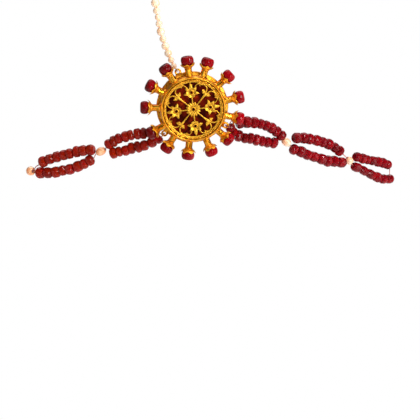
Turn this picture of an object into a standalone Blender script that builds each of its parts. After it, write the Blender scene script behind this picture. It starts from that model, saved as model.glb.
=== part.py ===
"""Maang tikka: a gold and glass medallion with thirteen ruby settings, two
doubled ruby strands that follow the brow and a string of pearls up the parting.

The medallion lies in the X-Z plane and faces -Y. The origin is the centre of the
back of its plate, which rests on the forehead. All sizes are in metres.
"""

import math

import bmesh
import bpy
from mathutils import Matrix, Vector

# Clearances
GAP = 0.0003                    # between pieces that touch on the real jewel
WIRE_GAP = 0.00035              # between a thread and the wire that it loops

# Medallion case
ROLL_DEG = 6.5                  # the medallion sits turned a little anticlockwise
PLATE_THICKNESS = 0.0012
FLANGE_WIDTH = 0.0014           # how far the plate stands out round the wall
BEZEL_WIDTH = 0.0011            # smooth band outside the milled wire
BEZEL_ROUND = 0.0013            # height over which the bezel rounds over
# Section of the bezel outside its groove: shares of its width and of that height
BEZEL_SECTION = ((0.5, 0.115), (0.85, 0.385), (1.0, 1.0))
GROOVE_WIDTH = 0.00017          # slope from the milled wire to the groove's bottom
WIRE_CREST = 0.3                # share of the milled wire's width that rounds up each side
MILLED_WIRE = 0.0004            # width of the milled wire round the glass
RIM_PROUD = 0.0005              # how far the milled wire stands above the foil
GROOVE_DEPTH = 0.0004
CASE_STEPS = 48

# Glass and foil
GLASS_RADIUS = 0.0112
GLASS_THICKNESS = 0.0034
FLOOR_HEIGHT = 0.0015           # back of the plate to the floor under the glass
FOIL_THICKNESS = 0.0005

# Foil pattern, drawn from the centre of the glass
BORDER_WIDTH = 0.00045
ROSETTE_RADIUS = 0.0031
ROSETTE_PETALS = 16
ROSETTE_HOLE = 0.00065
ROSETTE_VALLEY = 0.78           # valley between two petals, as a share of the radius
FLOWER_INSET = 0.00395          # border's inner edge to the centre of a flower
FLOWER_RADIUS = 0.0028
FLOWER_PETALS = 7
FLOWER_VALLEY = 0.62
FLOWER_HOLE = 0.0006
BUD_INSET = 0.00315             # border's inner edge to the centre of a bud
BUD_RADIUS = 0.0017
BUD_VALLEY = 0.42
STEM_WIDTH = 0.00042
SCROLL_WIDTH = 0.00048
SCROLL_BOW = 0.28               # how far a scroll bulges, as a share of its bud's distance
TENDRIL_BOW = 0.06
CLUSTER_RADIUS = 0.0009
CLUSTER_VALLEY = 0.5
CLUSTER_ANGLE_DEG = 22.0        # from a flower's axis to its border clusters

# Ruby settings
SETTING_COUNT = 13
TUBE_DIAMETER = 0.0031
TUBE_LENGTH = 0.0032
CUP_FLOOR = 0.0009              # end of the tube to the foot of the stone
CUP_REACH = 0.0009              # how far the petals pass the foot of the stone
CUP_WALL = 0.00035
CUP_SEAT = 1.15                 # gap under a stone, in gaps, for the slope of the cup
LIP_SEAT = 1.45                 # gap round a stone at the lip, in gaps
PETAL_NOTCH = 0.0006
STONE_DIAMETER = 0.0052
STONE_THICKNESS = 0.0038
STONE_FOOT = 0.0026
STONE_TABLE = 0.0034
STONE_CROWN = 0.3               # share of the stone's thickness above its widest part
STONE_PAVILION = 1 / 3          # share of it below
SETTING_SIDES = 12
# Degrees that each hand-made setting leans from its even place, clockwise from the top
SETTING_LEANS = (0.0, 3.3, 0.6, -0.9, 0.9, -0.6, 2.4, 1.3, 1.6, 3.0, -1.2, -0.5, 0.3)

# Rings soldered to the plate's edge, each after the setting of that number
RING_WIRE = 0.0008
RING_BORE = 0.0011
RINGS = {
    "left": {"after": 9, "lean": 1.95},
    "right": {"after": 5, "lean": -1.55},
    "top": {"after": 13, "lean": 1.4},
}

# Strings
THREAD_DIAMETER = 0.0005
STRAND_BEAD = 0.0044            # diameter of a ruby rondelle
BEAD_SIDES_RESOLUTION = 3       # ten sides round a string
BEAD_NECK = 0.60                # neck between two beads, as a share of their radius
RONDELLE = ((0.25, 0.97), (0.75, 0.97))
ROUND_PEARL = ((0.22, 0.82), (0.5, 1.0), (0.78, 0.82))
TOP_PEARL = 0.0030              # mean diameter of the pearls on the top string
# Diameter of each pearl up the parting, as a share of the mean one
TOP_PEARL_SIZES = (0.87, 0.93, 1.13, 1.07, 1.0, 1.2, 1.0, 0.87, 1.0, 1.25)

# Joining pearls on the side strands
PEARL_BORE = 0.0011
PEARL_LENGTH = 0.0043
PEARL_DIAMETER = 0.0034
END_PEARL_SIZE = 0.0038
PEARL_STEPS = 12

# Forehead that the strings lie over
BROW_RADIUS = 0.140
CROWN_RADIUS = 0.130
BROW_STANDOFF = 0.0016          # strings' centre line behind the plate's back

# Wire hooks that hold the ends in the hair
HOOK_WIRE = 0.0010
HOOK_WIDTH = 0.0052             # clear width inside the bend
HOOK_STEM = 0.0075              # eye centre to the start of the bend
HOOK_TIP = 0.0045               # straight return after the bend
HOOK_EYE = 0.0016               # clear diameter of the eye
HOOK_STEPS = 7

# Routes: x, z and the depth behind the brow line, chosen along each string
ROUTES = {
    "left_inner_lead": ((-0.0136, -0.0102, -0.0011),),
    "left_inner_upper": ((-0.0157, -0.0109, 0.0002), (-0.0184, -0.0109, 0.0002),
                         (-0.0232, -0.0115, 0.0), (-0.0285, -0.0131, 0.0),
                         (-0.0331, -0.0153, -0.0002), (-0.0346, -0.0166, -0.0002)),
    "left_inner_lower": ((-0.0129, -0.0121, 0.0002), (-0.0148, -0.0142, 0.0002),
                         (-0.0182, -0.0157, 0.0002), (-0.0262, -0.0179, 0.0),
                         (-0.0328, -0.0196, 0.0004)),
    "left_outer_upper": ((-0.0392, -0.0180, 0.0), (-0.0459, -0.0194, 0.0),
                         (-0.0546, -0.0220, 0.0), (-0.0600, -0.0243, 0.0),
                         (-0.0613, -0.0254, 0.0)),
    "left_end_lead": ((-0.0632, -0.0264, -0.0014),),
    "left_outer_lower": ((-0.0398, -0.0223, 0.0002), (-0.0470, -0.0259, 0.0),
                         (-0.0559, -0.0286, 0.0), (-0.0631, -0.0295, 0.0)),
    "right_inner_lead": ((0.0160, -0.0062, -0.0011),),
    "right_inner_upper": ((0.0179, -0.0078, 0.0002), (0.0210, -0.0074, 0.0002),
                          (0.0250, -0.0073, 0.0), (0.0318, -0.0097, 0.0),
                          (0.0365, -0.0132, 0.0), (0.0377, -0.0145, 0.0)),
    "right_inner_lower": ((0.0152, -0.0080, 0.0002), (0.0161, -0.0103, 0.0002),
                          (0.0178, -0.0124, 0.0002), (0.0203, -0.0133, 0.0),
                          (0.0285, -0.0151, 0.0), (0.0350, -0.0169, 0.0)),
    "right_middle_upper": ((0.0420, -0.0147, -0.0002), (0.0486, -0.0159, 0.0),
                           (0.0566, -0.0185, 0.0), (0.0621, -0.0219, 0.0),
                           (0.0636, -0.0232, 0.0)),
    "right_middle_lower": ((0.0414, -0.0191, 0.0004), (0.0440, -0.0206, 0.0002),
                           (0.0491, -0.0228, 0.0), (0.0565, -0.0258, 0.0),
                           (0.0652, -0.0278, 0.0)),
    "right_outer_upper": ((0.0697, -0.0255, 0.0), (0.0755, -0.0276, 0.0),
                          (0.0830, -0.0301, 0.0), (0.0869, -0.0318, 0.0)),
    "right_outer_lower": ((0.0691, -0.0295, 0.0), (0.0757, -0.0331, 0.0),
                          (0.0826, -0.0370, 0.0), (0.0882, -0.0378, 0.0)),
    "top": ((-0.0066, 0.0150, 0.0), (-0.0090, 0.0204, 0.0), (-0.0117, 0.0280, 0.0),
            (-0.0130, 0.0345, 0.0), (-0.0142, 0.0422, 0.0)),
}
BEAD_COUNTS = {
    "left_inner_upper": 8, "left_inner_lower": 8,
    "left_outer_upper": 8, "left_outer_lower": 8,
    "right_inner_upper": 8, "right_inner_lower": 9,
    "right_middle_upper": 8, "right_middle_lower": 8,
    "right_outer_upper": 7, "right_outer_lower": 6,
}
# Centres of the joining pearls, x, z and depth, with the direction of each bore
PEARLS = {
    "left_joining_pearl": {"at": (-0.03666, -0.0189, 0.0), "along": (-0.82, 0.3, -0.45),
                           "length": PEARL_LENGTH, "diameter": PEARL_DIAMETER},
    "left_end_pearl": {"at": (-0.0655, -0.0288, 0.0), "along": (-0.5, 0.85, -0.15),
                       "length": END_PEARL_SIZE, "diameter": END_PEARL_SIZE},
    "right_joining_pearl": {"at": (0.0391, -0.01654, 0.0), "along": (0.7, 0.28, -0.65),
                            "length": PEARL_LENGTH, "diameter": PEARL_DIAMETER},
    "right_outer_pearl": {"at": (0.0673, -0.0271, 0.0), "along": (0.6, 0.25, -0.75),
                          "length": PEARL_DIAMETER, "diameter": PEARL_DIAMETER},
}

# Eye of each hook, x, z and depth, with the directions of its stem and of its bend
HOOKS = {
    "left_hair_hook": {"at": (-0.0657, -0.0303, 0.0066), "along": (0.0, 0.976, -0.218),
                       "across": (1.0, 0.0, 0.0)},
    "right_hair_hook": {"at": (0.0885, -0.0393, 0.0070), "along": (0.0, 0.976, -0.218),
                        "across": (-1.0, 0.0, 0.0)},
    "top_hair_hook": {"at": (-0.0147, 0.0463, 0.0002), "along": (0.0, 0.0, 1.0),
                      "across": (1.0, 0.0, 0.0)},
}

# Colours: base colour, roughness and metallic value of each material
FINISHES = {
    "gold": ((0.83, 0.49, 0.10, 1.0), 0.28, 1.0),
    "foil": ((0.87, 0.55, 0.13, 1.0), 0.35, 1.0),
    "glass": ((0.10, 0.010, 0.006, 1.0), 0.08, 0.0),
    "ruby": ((0.32, 0.004, 0.012, 1.0), 0.12, 0.0),
    "pearl": ((0.85, 0.55, 0.33, 1.0), 0.25, 0.0),
    "pale_pearl": ((0.92, 0.78, 0.66, 1.0), 0.25, 0.0),
    "hook_wire": ((0.83, 0.49, 0.10, 1.0), 0.30, 1.0),
}


def clear_scene():
    """Empty the file of its starting objects."""
    for obj in list(bpy.data.objects):
        bpy.data.objects.remove(obj, do_unlink=True)


def new_collection(name):
    """Make a collection in the scene."""
    group = bpy.data.collections.new(name)
    bpy.context.scene.collection.children.link(group)
    return group


def make_material(name, finish):
    """Make a material with one of the FINISHES."""
    colour, roughness, metallic = FINISHES[finish]
    material = bpy.data.materials.new(name)
    material.use_nodes = True
    shader = material.node_tree.nodes["Principled BSDF"]
    shader.inputs["Base Color"].default_value = colour
    shader.inputs["Roughness"].default_value = roughness
    shader.inputs["Metallic"].default_value = metallic
    material.diffuse_color = colour
    return material


def finish_piece(obj, finish):
    """Give a piece its own material and smooth shading between its sharp edges."""
    obj.data.materials.clear()
    obj.data.materials.append(make_material(obj.name, finish))
    if obj.type == "MESH":
        obj.data.shade_smooth()
        obj.data.set_sharp_from_angle(angle=math.radians(35))


def solid_mesh(obj, name):
    """Take the evaluated shape of an object as a welded mesh, and remove the object."""
    bpy.context.view_layer.update()
    evaluated = obj.evaluated_get(bpy.context.evaluated_depsgraph_get())
    mesh = bpy.data.meshes.new_from_object(evaluated)
    work = bmesh.new()
    work.from_mesh(mesh)
    bmesh.ops.remove_doubles(work, verts=work.verts, dist=1e-7)
    work.to_mesh(mesh)
    work.free()
    place = obj.matrix_world.copy()
    groups = list(obj.users_collection)
    bpy.data.objects.remove(obj, do_unlink=True)
    solid = bpy.data.objects.new(name, mesh)
    solid.matrix_world = place
    for group in groups:
        group.objects.link(solid)
    return solid


def turned(name, profile, steps, group):
    """Turn a profile of (radius, height) points about Z, its outer side top to bottom."""
    mesh = bpy.data.meshes.new(name)
    edges = [(i, i + 1) for i in range(len(profile) - 1)]
    mesh.from_pydata([(radius, 0.0, height) for radius, height in profile], edges, [])
    obj = bpy.data.objects.new(name, mesh)
    group.objects.link(obj)
    screw = obj.modifiers.new("turn", "SCREW")
    screw.steps = steps
    screw.render_steps = steps
    screw.use_merge_vertices = True
    screw.merge_threshold = 1e-6
    return obj


def flat_outline(name, loops, bottom, top, group):
    """Cut a flat piece from closed loops of (x, y) points, the first one its outside."""
    data = bpy.data.curves.new(name, "CURVE")
    data.dimensions = "2D"
    data.fill_mode = "BOTH"
    data.extrude = (top - bottom) / 2
    for loop in loops:
        spline = data.splines.new("POLY")
        spline.points.add(len(loop) - 1)
        for point, (x, y) in zip(spline.points, loop):
            point.co = (x, y, 0.0, 1.0)
        spline.use_cyclic_u = True
    obj = bpy.data.objects.new(name, data)
    obj.location.z = (top + bottom) / 2
    group.objects.link(obj)
    return solid_mesh(obj, name)


def wire(name, points, radius, resolution, group, radii=None):
    """Draw a round wire through points, with its own radius at each point if given."""
    data = bpy.data.curves.new(name, "CURVE")
    data.dimensions = "3D"
    data.bevel_depth = radius
    data.bevel_resolution = resolution
    data.use_fill_caps = True
    spline = data.splines.new("POLY")
    spline.points.add(len(points) - 1)
    for index, (point, place) in enumerate(zip(spline.points, points)):
        point.co = (place[0], place[1], place[2], 1.0)
        point.radius = 1.0 if radii is None else radii[index] / radius
    obj = bpy.data.objects.new(name, data)
    group.objects.link(obj)
    return obj


def fuse(target, parts, guides):
    """Join overlapping parts to a target as one solid."""
    joined = bpy.data.collections.new(target.name + " joined parts")
    guides.children.link(joined)
    for part in parts:
        for group in list(part.users_collection):
            group.objects.unlink(part)
        joined.objects.link(part)
    union = target.modifiers.new("solder", "BOOLEAN")
    union.operation = "UNION"
    union.operand_type = "COLLECTION"
    union.collection = joined
    name = target.name
    solid = solid_mesh(target, name)
    for part in parts:
        bpy.data.objects.remove(part, do_unlink=True)
    bpy.data.collections.remove(joined)
    return solid


def merge_flat_faces(obj):
    """Merge the faces that lie in one plane, and the straight edges between them."""
    work = bmesh.new()
    work.from_mesh(obj.data)
    bmesh.ops.dissolve_limit(work, angle_limit=math.radians(0.5), use_dissolve_boundaries=False,
                             verts=work.verts, edges=work.edges)
    bmesh.ops.triangulate(work, faces=work.faces)
    work.to_mesh(obj.data)
    work.free()


def polar(distance, degrees):
    """Give the point at a distance and an angle from the centre."""
    angle = math.radians(degrees)
    return (distance * math.cos(angle), distance * math.sin(angle))


def circle(radius, steps, centre=(0.0, 0.0)):
    """Give the points of a circle."""
    return [(centre[0] + radius * math.cos(2 * math.pi * i / steps),
             centre[1] + radius * math.sin(2 * math.pi * i / steps)) for i in range(steps)]


def case_radius():
    """Outer radius of the case's wall."""
    return GLASS_RADIUS + GAP + MILLED_WIRE + BEZEL_WIDTH


def plate_radius():
    """Radius of the back plate."""
    return case_radius() + FLANGE_WIDTH


def glass_top():
    """Height of the face of the glass."""
    return FLOOR_HEIGHT + GAP + GLASS_THICKNESS


def foil_bottom():
    """Height of the underside of the foil."""
    return glass_top() + GAP


def rim_height():
    """Height of the top of the milled wire."""
    return foil_bottom() + FOIL_THICKNESS + RIM_PROUD


def pattern_radius():
    """Inner radius of the foil's border, which the pattern fills."""
    return GLASS_RADIUS - BORDER_WIDTH


def flower_distance():
    """Distance from the centre of the foil to that of a flower."""
    return pattern_radius() - FLOWER_INSET


def bud_distance():
    """Distance from the centre of the foil to that of a bud."""
    return pattern_radius() - BUD_INSET


def setting_height():
    """Height of the settings' axes, half way up the straight part of the wall."""
    return (PLATE_THICKNESS + rim_height() - BEZEL_ROUND) / 2


def stone_foot():
    """Distance from the medallion's centre to the foot of a set stone."""
    return case_radius() + TUBE_LENGTH + CUP_FLOOR


def setting_angle(number):
    """Angle of a setting, counted clockwise from the top in the medallion's own frame."""
    even = 90.0 - (number - 1) * 360.0 / SETTING_COUNT
    return even + SETTING_LEANS[(number - 1) % len(SETTING_LEANS)]


def ring_angle(side):
    """Angle of a soldered ring, half way to the next setting."""
    ring = RINGS[side]
    even = 90.0 - (ring["after"] - 0.5) * 360.0 / SETTING_COUNT
    return even + ring["lean"]


def ring_distance():
    """Distance from the medallion's centre to that of a soldered ring."""
    return plate_radius() + RING_BORE / 2 + RING_WIRE / 2


def ring_height():
    """Height of the soldered rings, half way up the plate's edge."""
    return PLATE_THICKNESS / 2


def medallion_matrix():
    """Turn from the medallion's own frame, facing +Z, to the jewel's frame."""
    return (Matrix.Rotation(math.radians(-ROLL_DEG), 4, "Y")
            @ Matrix.Rotation(math.radians(90), 4, "X"))


def case_profile():
    """Section of the plate, wall, bezel, milled wire and recess."""
    recess = GLASS_RADIUS + GAP
    wire_out = recess + MILLED_WIRE
    top = rim_height()
    bezel = [(wire_out + across * BEZEL_WIDTH, top - down * BEZEL_ROUND)
             for across, down in BEZEL_SECTION]
    return [
        (0.0, FLOOR_HEIGHT),
        (recess, FLOOR_HEIGHT),
        (recess, top - MILLED_WIRE),
        (recess + WIRE_CREST * MILLED_WIRE, top),
        (wire_out - WIRE_CREST * MILLED_WIRE, top),
        (wire_out + GROOVE_WIDTH, top - GROOVE_DEPTH),
        *bezel,
        (case_radius(), PLATE_THICKNESS),
        (plate_radius(), PLATE_THICKNESS),
        (plate_radius(), 0.0),
        (0.0, 0.0),
    ]


def stone_radius(depth):
    """Radius of a set stone at a depth past its foot, up to its girdle."""
    girdle = STONE_PAVILION * STONE_THICKNESS
    share = min(depth / girdle, 1.0)
    return (STONE_FOOT + share * (STONE_DIAMETER - STONE_FOOT)) / 2


def setting_profile():
    """Section of a tube with its flared cup, from the petals' tips round to the root."""
    neck = case_radius() + TUBE_LENGTH
    foot = stone_foot()
    lip = foot + CUP_REACH
    lip_inner = stone_radius(CUP_REACH) + LIP_SEAT * GAP
    floor_radius = stone_radius(0.0) - 0.2 * GAP
    root = case_radius() - 0.5 * (BEZEL_WIDTH + MILLED_WIRE)
    return [
        (0.0, foot - CUP_SEAT * GAP),
        (floor_radius, foot - CUP_SEAT * GAP),
        (lip_inner, lip),
        (lip_inner + CUP_WALL, lip),
        (lip_inner + 0.2 * CUP_WALL, foot),
        (TUBE_DIAMETER / 2, neck - 0.1 * TUBE_LENGTH),
        (0.94 * TUBE_DIAMETER / 2, root),
        (0.0, root),
    ]


def notch_petals(obj):
    """Draw every other point of a cup's lip back, which leaves six pointed petals."""
    lip = stone_foot() + CUP_REACH
    slope = (STONE_DIAMETER - STONE_FOOT) / 2 / (STONE_PAVILION * STONE_THICKNESS)
    step = 2 * math.pi / SETTING_SIDES
    for vertex in obj.data.vertices:
        x, y, z = vertex.co
        odd = round(math.atan2(y, x) / step) % 2
        if odd and abs(z - lip) < 1e-6:
            radius = math.hypot(x, y)
            scale = (radius - PETAL_NOTCH * slope) / radius
            vertex.co = (x * scale, y * scale, lip - PETAL_NOTCH)


def place_on_setting(obj, number):
    """Lay a piece turned about Z along the axis of a setting."""
    obj.rotation_euler = (0.0, math.radians(90), math.radians(setting_angle(number)))
    obj.location = (0.0, 0.0, setting_height())


def build_frame(group, guides):
    """Solder the case, its tubes with their cups, and the three rings into one solid."""
    case = turned("gold_frame", case_profile(), CASE_STEPS, group)
    parts = []
    for number in range(1, SETTING_COUNT + 1):
        setting = solid_mesh(turned("setting", setting_profile(), SETTING_SIDES, guides), "setting")
        notch_petals(setting)
        place_on_setting(setting, number)
        parts.append(setting)
    for side in RINGS:
        x, y = polar(ring_distance(), ring_angle(side))
        bpy.ops.mesh.primitive_torus_add(
            major_radius=(RING_BORE + RING_WIRE) / 2, minor_radius=RING_WIRE / 2,
            major_segments=16, minor_segments=6, location=(x, y, ring_height()))
        parts.append(bpy.context.object)
    frame = fuse(case, parts, guides)
    merge_flat_faces(frame)
    return frame


def build_glass(group):
    """Grind the flat disc of glass with a narrow bevel."""
    bottom = FLOOR_HEIGHT + GAP
    bevel = 0.1 * GLASS_THICKNESS
    profile = [
        (0.0, glass_top()),
        (GLASS_RADIUS - bevel, glass_top()),
        (GLASS_RADIUS, glass_top() - bevel),
        (GLASS_RADIUS, bottom),
        (0.0, bottom),
    ]
    return turned("glass_disc", profile, CASE_STEPS, group)


def star(centre, valley, tip, petals, turn_deg, long_tip=None):
    """Outline of pointed petals round a centre, the first one longer if asked."""
    points = []
    for petal in range(petals):
        reach = long_tip if long_tip and petal == 0 else tip
        for share, radius in ((-0.5, valley), (0.0, reach)):
            x, y = polar(radius, turn_deg + (petal + share) * 360.0 / petals)
            points.append((centre[0] + x, centre[1] + y))
    return points


def ribbon(path, width):
    """Outline of a band of even width along a path."""
    left, right = [], []
    for index, point in enumerate(path):
        before = Vector(path[max(index - 1, 0)])
        after = Vector(path[min(index + 1, len(path) - 1)])
        along = (after - before).normalized()
        side = Vector((-along.y, along.x)) * (width / 2)
        left.append(tuple(Vector(point) + side))
        right.append(tuple(Vector(point) - side))
    return left + right[::-1]


def bowed(start, end, bow, steps):
    """Points on an arc from start to end that bows to its left by a length."""
    first, last = Vector(start), Vector(end)
    across = Vector((first.y - last.y, last.x - first.x)).normalized()
    points = []
    for step in range(steps + 1):
        share = step / steps
        lift = 4 * share * (1 - share) * bow
        points.append(tuple(first.lerp(last, share) + across * lift))
    return points


def build_foil(group, guides):
    """Cut the openwork foil: border, rosette, four flowers, four buds and their scrolls."""
    bottom = foil_bottom()
    top = bottom + FOIL_THICKNESS
    inner = pattern_radius()
    flower_at = flower_distance()
    bud_at = bud_distance()
    border = flat_outline("foil_openwork", [circle(GLASS_RADIUS, CASE_STEPS),
                                            circle(inner, CASE_STEPS)], bottom, top, group)
    parts = []

    def cut(name, loops):
        parts.append(flat_outline(name, loops, bottom, top, guides))

    cut("rosette", [star((0.0, 0.0), ROSETTE_VALLEY * ROSETTE_RADIUS, ROSETTE_RADIUS,
                         ROSETTE_PETALS, 0.0), circle(ROSETTE_HOLE, 8)])
    for quarter in range(4):
        axis = 90.0 * quarter
        centre = polar(flower_at, axis)
        reach = inner + 0.4 * BORDER_WIDTH - flower_at
        cut("flower", [star(centre, FLOWER_VALLEY * FLOWER_RADIUS, FLOWER_RADIUS,
                            FLOWER_PETALS, axis, reach), circle(FLOWER_HOLE, 6, centre)])
        cut("stem", [ribbon([polar(0.7 * ROSETTE_RADIUS, axis),
                             polar(flower_at - 0.55 * FLOWER_RADIUS, axis)], STEM_WIDTH)])
        corner = axis + 45.0
        bud = polar(bud_at, corner)
        cut("bud", [star(bud, BUD_VALLEY * BUD_RADIUS, BUD_RADIUS, 3, corner)])
        cut("stalk", [ribbon([polar(0.7 * ROSETTE_RADIUS, corner), bud], 1.2 * STEM_WIDTH)])
        for side in (-1, 1):
            flower_axis = corner - side * 45.0
            touch = flower_axis + side * CLUSTER_ANGLE_DEG
            reach_point = polar(inner + 0.3 * BORDER_WIDTH, touch)
            flank = polar(flower_at + 0.75 * FLOWER_RADIUS, flower_axis + side * 4.0)
            cut("scroll", [ribbon(bowed(bud, reach_point, side * SCROLL_BOW * bud_at, 5),
                                  SCROLL_WIDTH)])
            cut("tendril", [ribbon(bowed(reach_point, flank, side * TENDRIL_BOW * bud_at, 3),
                                   0.8 * SCROLL_WIDTH)])
            cluster = polar(inner - 0.25 * CLUSTER_RADIUS, touch)
            cut("cluster", [star(cluster, CLUSTER_VALLEY * CLUSTER_RADIUS, CLUSTER_RADIUS, 3,
                                 touch + 180.0)])
    foil = fuse(border, parts, guides)
    merge_flat_faces(foil)
    return foil


def build_stone(number, group):
    """Cut a ruby drum for one setting, with a table, a crown, a girdle and a pavilion."""
    foot = stone_foot()
    profile = [
        (0.0, foot + STONE_THICKNESS),
        (STONE_TABLE / 2, foot + STONE_THICKNESS),
        (STONE_DIAMETER / 2, foot + (1 - STONE_CROWN) * STONE_THICKNESS),
        (STONE_DIAMETER / 2, foot + STONE_PAVILION * STONE_THICKNESS),
        (STONE_FOOT / 2, foot),
        (0.0, foot),
    ]
    stone = turned("setting_stone_%02d" % number, profile, SETTING_SIDES, group)
    place_on_setting(stone, number)
    return stone


def brow_point(x, z, depth=0.0):
    """Point on the brow line at x and z, and a depth behind it."""
    rise = max(z, 0.0)
    curve = x * x / (2 * BROW_RADIUS) + rise * rise / (2 * CROWN_RADIUS)
    return Vector((x, BROW_STANDOFF + curve + depth, z))


def route(name):
    """Route of one string over the brow."""
    return [brow_point(x, z, depth) for x, z, depth in ROUTES[name]]


def smooth(points, steps=6):
    """Points on a smooth curve through chosen points."""
    ends = [2 * points[0] - points[1]] + list(points) + [2 * points[-1] - points[-2]]
    curve = []
    for a, b, c, d in zip(ends, ends[1:], ends[2:], ends[3:]):
        for step in range(steps):
            t = step / steps
            curve.append(0.5 * ((2 * b) + (c - a) * t + (2 * a - 5 * b + 4 * c - d) * t ** 2
                                + (3 * b - a - 3 * c + d) * t ** 3))
    curve.append(points[-1].copy())
    return curve


def length_of(path):
    """Length of a path."""
    return sum((b - a).length for a, b in zip(path, path[1:]))


def point_at(path, distance):
    """Point at a distance along a path."""
    left = distance
    for a, b in zip(path, path[1:]):
        span = (b - a).length
        if left <= span:
            return a.lerp(b, left / span)
        left -= span
    return path[-1].copy()


def bead_rings(path, diameters, shape):
    """Centres and radii of the rings that make a row of touching beads along a path."""
    total = sum(diameters)
    length = length_of(path)
    rings = [(path[0].copy(), THREAD_DIAMETER / 2)]
    start = 0.0
    for index, diameter in enumerate(diameters):
        span = length * diameter / total
        for place, share in shape:
            rings.append((point_at(path, start + place * span), share * diameter / 2))
        start += span
        last = index == len(diameters) - 1
        radius = THREAD_DIAMETER / 2 if last else BEAD_NECK * diameter / 2
        rings.append((point_at(path, start), radius))
    return rings


def ruby_rings(name):
    """Rings of one strand of ruby rondelles, from its first bead to its last."""
    path = smooth(route(name))
    return bead_rings(path, [STRAND_BEAD] * BEAD_COUNTS[name], RONDELLE)


def thread_rings(points, steps=1):
    """Rings of bare thread along a smooth curve through points, without its two ends."""
    return [(point, THREAD_DIAMETER / 2) for point in smooth(points, steps)[1:-1]]


def string(name, rings, finish, group):
    """Make one string, its beads fused on its thread."""
    obj = wire(name, [point for point, _ in rings], THREAD_DIAMETER / 2, BEAD_SIDES_RESOLUTION,
               group, [radius for _, radius in rings])
    finish_piece(obj, finish)
    return obj


def ring_loop(side, last_deg=10):
    """Points of a thread that passes from behind through a soldered ring to its front."""
    turn = medallion_matrix()
    wire_place = ring_distance() + (RING_BORE + RING_WIRE) / 2
    reach = RING_WIRE / 2 + WIRE_GAP + THREAD_DIAMETER / 2
    points = []
    for degrees in range(285, last_deg - 1, -35):
        angle = math.radians(degrees)
        x, y = polar(wire_place + reach * math.cos(angle), ring_angle(side))
        points.append(turn @ Vector((x, y, ring_height() + reach * math.sin(angle))))
    return points


def pearl_centre(name):
    """Centre of a joining pearl."""
    x, z, depth = PEARLS[name]["at"]
    return brow_point(x, z, depth)


def pearl_axis(name):
    """Direction of a joining pearl's bore."""
    return Vector(PEARLS[name]["along"]).normalized()


def build_pearl(name, group):
    """Turn a bored pearl and lay it along its thread."""
    length = PEARLS[name]["length"] / 2
    radius = PEARLS[name]["diameter"] / 2
    bore = PEARL_BORE / 2
    start = math.asin(bore / radius)
    arcs = 6
    profile = []
    for step in range(arcs + 1):
        angle = start + (math.pi - 2 * start) * step / arcs
        profile.append((radius * math.sin(angle), length * math.cos(angle)))
    profile.append(profile[0])
    pearl = turned(name, profile, PEARL_STEPS, group)
    pearl.location = pearl_centre(name)
    pearl.rotation_euler = pearl_axis(name).to_track_quat("Z", "Y").to_euler()
    finish_piece(pearl, "pearl")
    return pearl


def into_pearl(name, sign):
    """Points of a thread that leaves a pearl's middle through its bore, to a side."""
    centre = pearl_centre(name)
    axis = pearl_axis(name) * sign
    half = PEARLS[name]["length"] / 2
    return [centre + axis * (GAP / 2), centre + axis * half, centre + axis * (half + GAP)]


def hook_outline():
    """Flat outline of a hook: along its stem, and across towards its tip."""
    eye = (HOOK_EYE + HOOK_WIRE) / 2
    bend = (HOOK_WIDTH + HOOK_WIRE) / 2
    points = []
    for step in range(HOOK_STEPS + 2):
        x, y = polar(eye, 40.0 + 290.0 * step / (HOOK_STEPS + 1))
        points.append((x, y))
    points.append((eye + HOOK_WIRE, 0.0))
    for step in range(HOOK_STEPS + 1):
        x, y = polar(bend, -90.0 + 180.0 * step / HOOK_STEPS)
        points.append((HOOK_STEM + x, bend + y))
    points.append((HOOK_STEM - HOOK_TIP, 2 * bend))
    points.append((HOOK_STEM - HOOK_TIP - HOOK_WIRE, 2 * bend + 0.4 * HOOK_WIRE))
    return points


def hook_frame(name):
    """Origin, stem direction and crosswise direction of a hook."""
    place = HOOKS[name]
    along = Vector(place["along"]).normalized()
    across = Vector(place["across"])
    across = (across - along * across.dot(along)).normalized()
    x, z, depth = place["at"]
    return brow_point(x, z, depth), along, across


def build_hook(name, group):
    """Bend a hair hook from wire, with an eye for the thread."""
    origin, along, across = hook_frame(name)
    points = [origin + along * u + across * v for u, v in hook_outline()]
    hook = wire(name, points, HOOK_WIRE / 2, 2, group)
    finish_piece(hook, "hook_wire")
    return hook


def eye_loop(name, start_deg, end_deg, steps):
    """Points of a thread that loops the near side of a hook's eye."""
    origin, along, across = hook_frame(name)
    out = along.cross(across).normalized()
    near = origin - along * (HOOK_EYE + HOOK_WIRE) / 2
    reach = HOOK_WIRE / 2 + WIRE_GAP + THREAD_DIAMETER / 2
    points = []
    for step in range(steps + 1):
        angle = math.radians(start_deg + (end_deg - start_deg) * step / steps)
        points.append(near + along * (reach * math.cos(angle)) + out * (reach * math.sin(angle)))
    return points


def thread_into(name, bead_end):
    """Rings of a thread from the end of a row of beads to the middle of a pearl."""
    tail = into_pearl(name, -1)[::-1]
    return thread_rings([bead_end] + tail, 2) + [(tail[-1], THREAD_DIAMETER / 2)]


def thread_out_of(name, bead_start):
    """Rings of a thread from the middle of a pearl to the start of a row of beads."""
    head = into_pearl(name, 1)
    return [(head[0], THREAD_DIAMETER / 2)] + thread_rings(head + [bead_start], 2)


def build_inner_string(side, group):
    """String both inner strands of a side on one thread, looped through the plate's ring."""
    lower = ruby_rings(side + "_inner_lower")
    upper = ruby_rings(side + "_inner_upper")
    lead = thread_rings([upper[0][0]] + route(side + "_inner_lead") + ring_loop(side)
                        + [lower[0][0]])
    end = thread_into(side + "_joining_pearl", upper[-1][0])
    string(side + "_inner_string", end[::-1] + upper[::-1] + lead + lower, "ruby", group)


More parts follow.
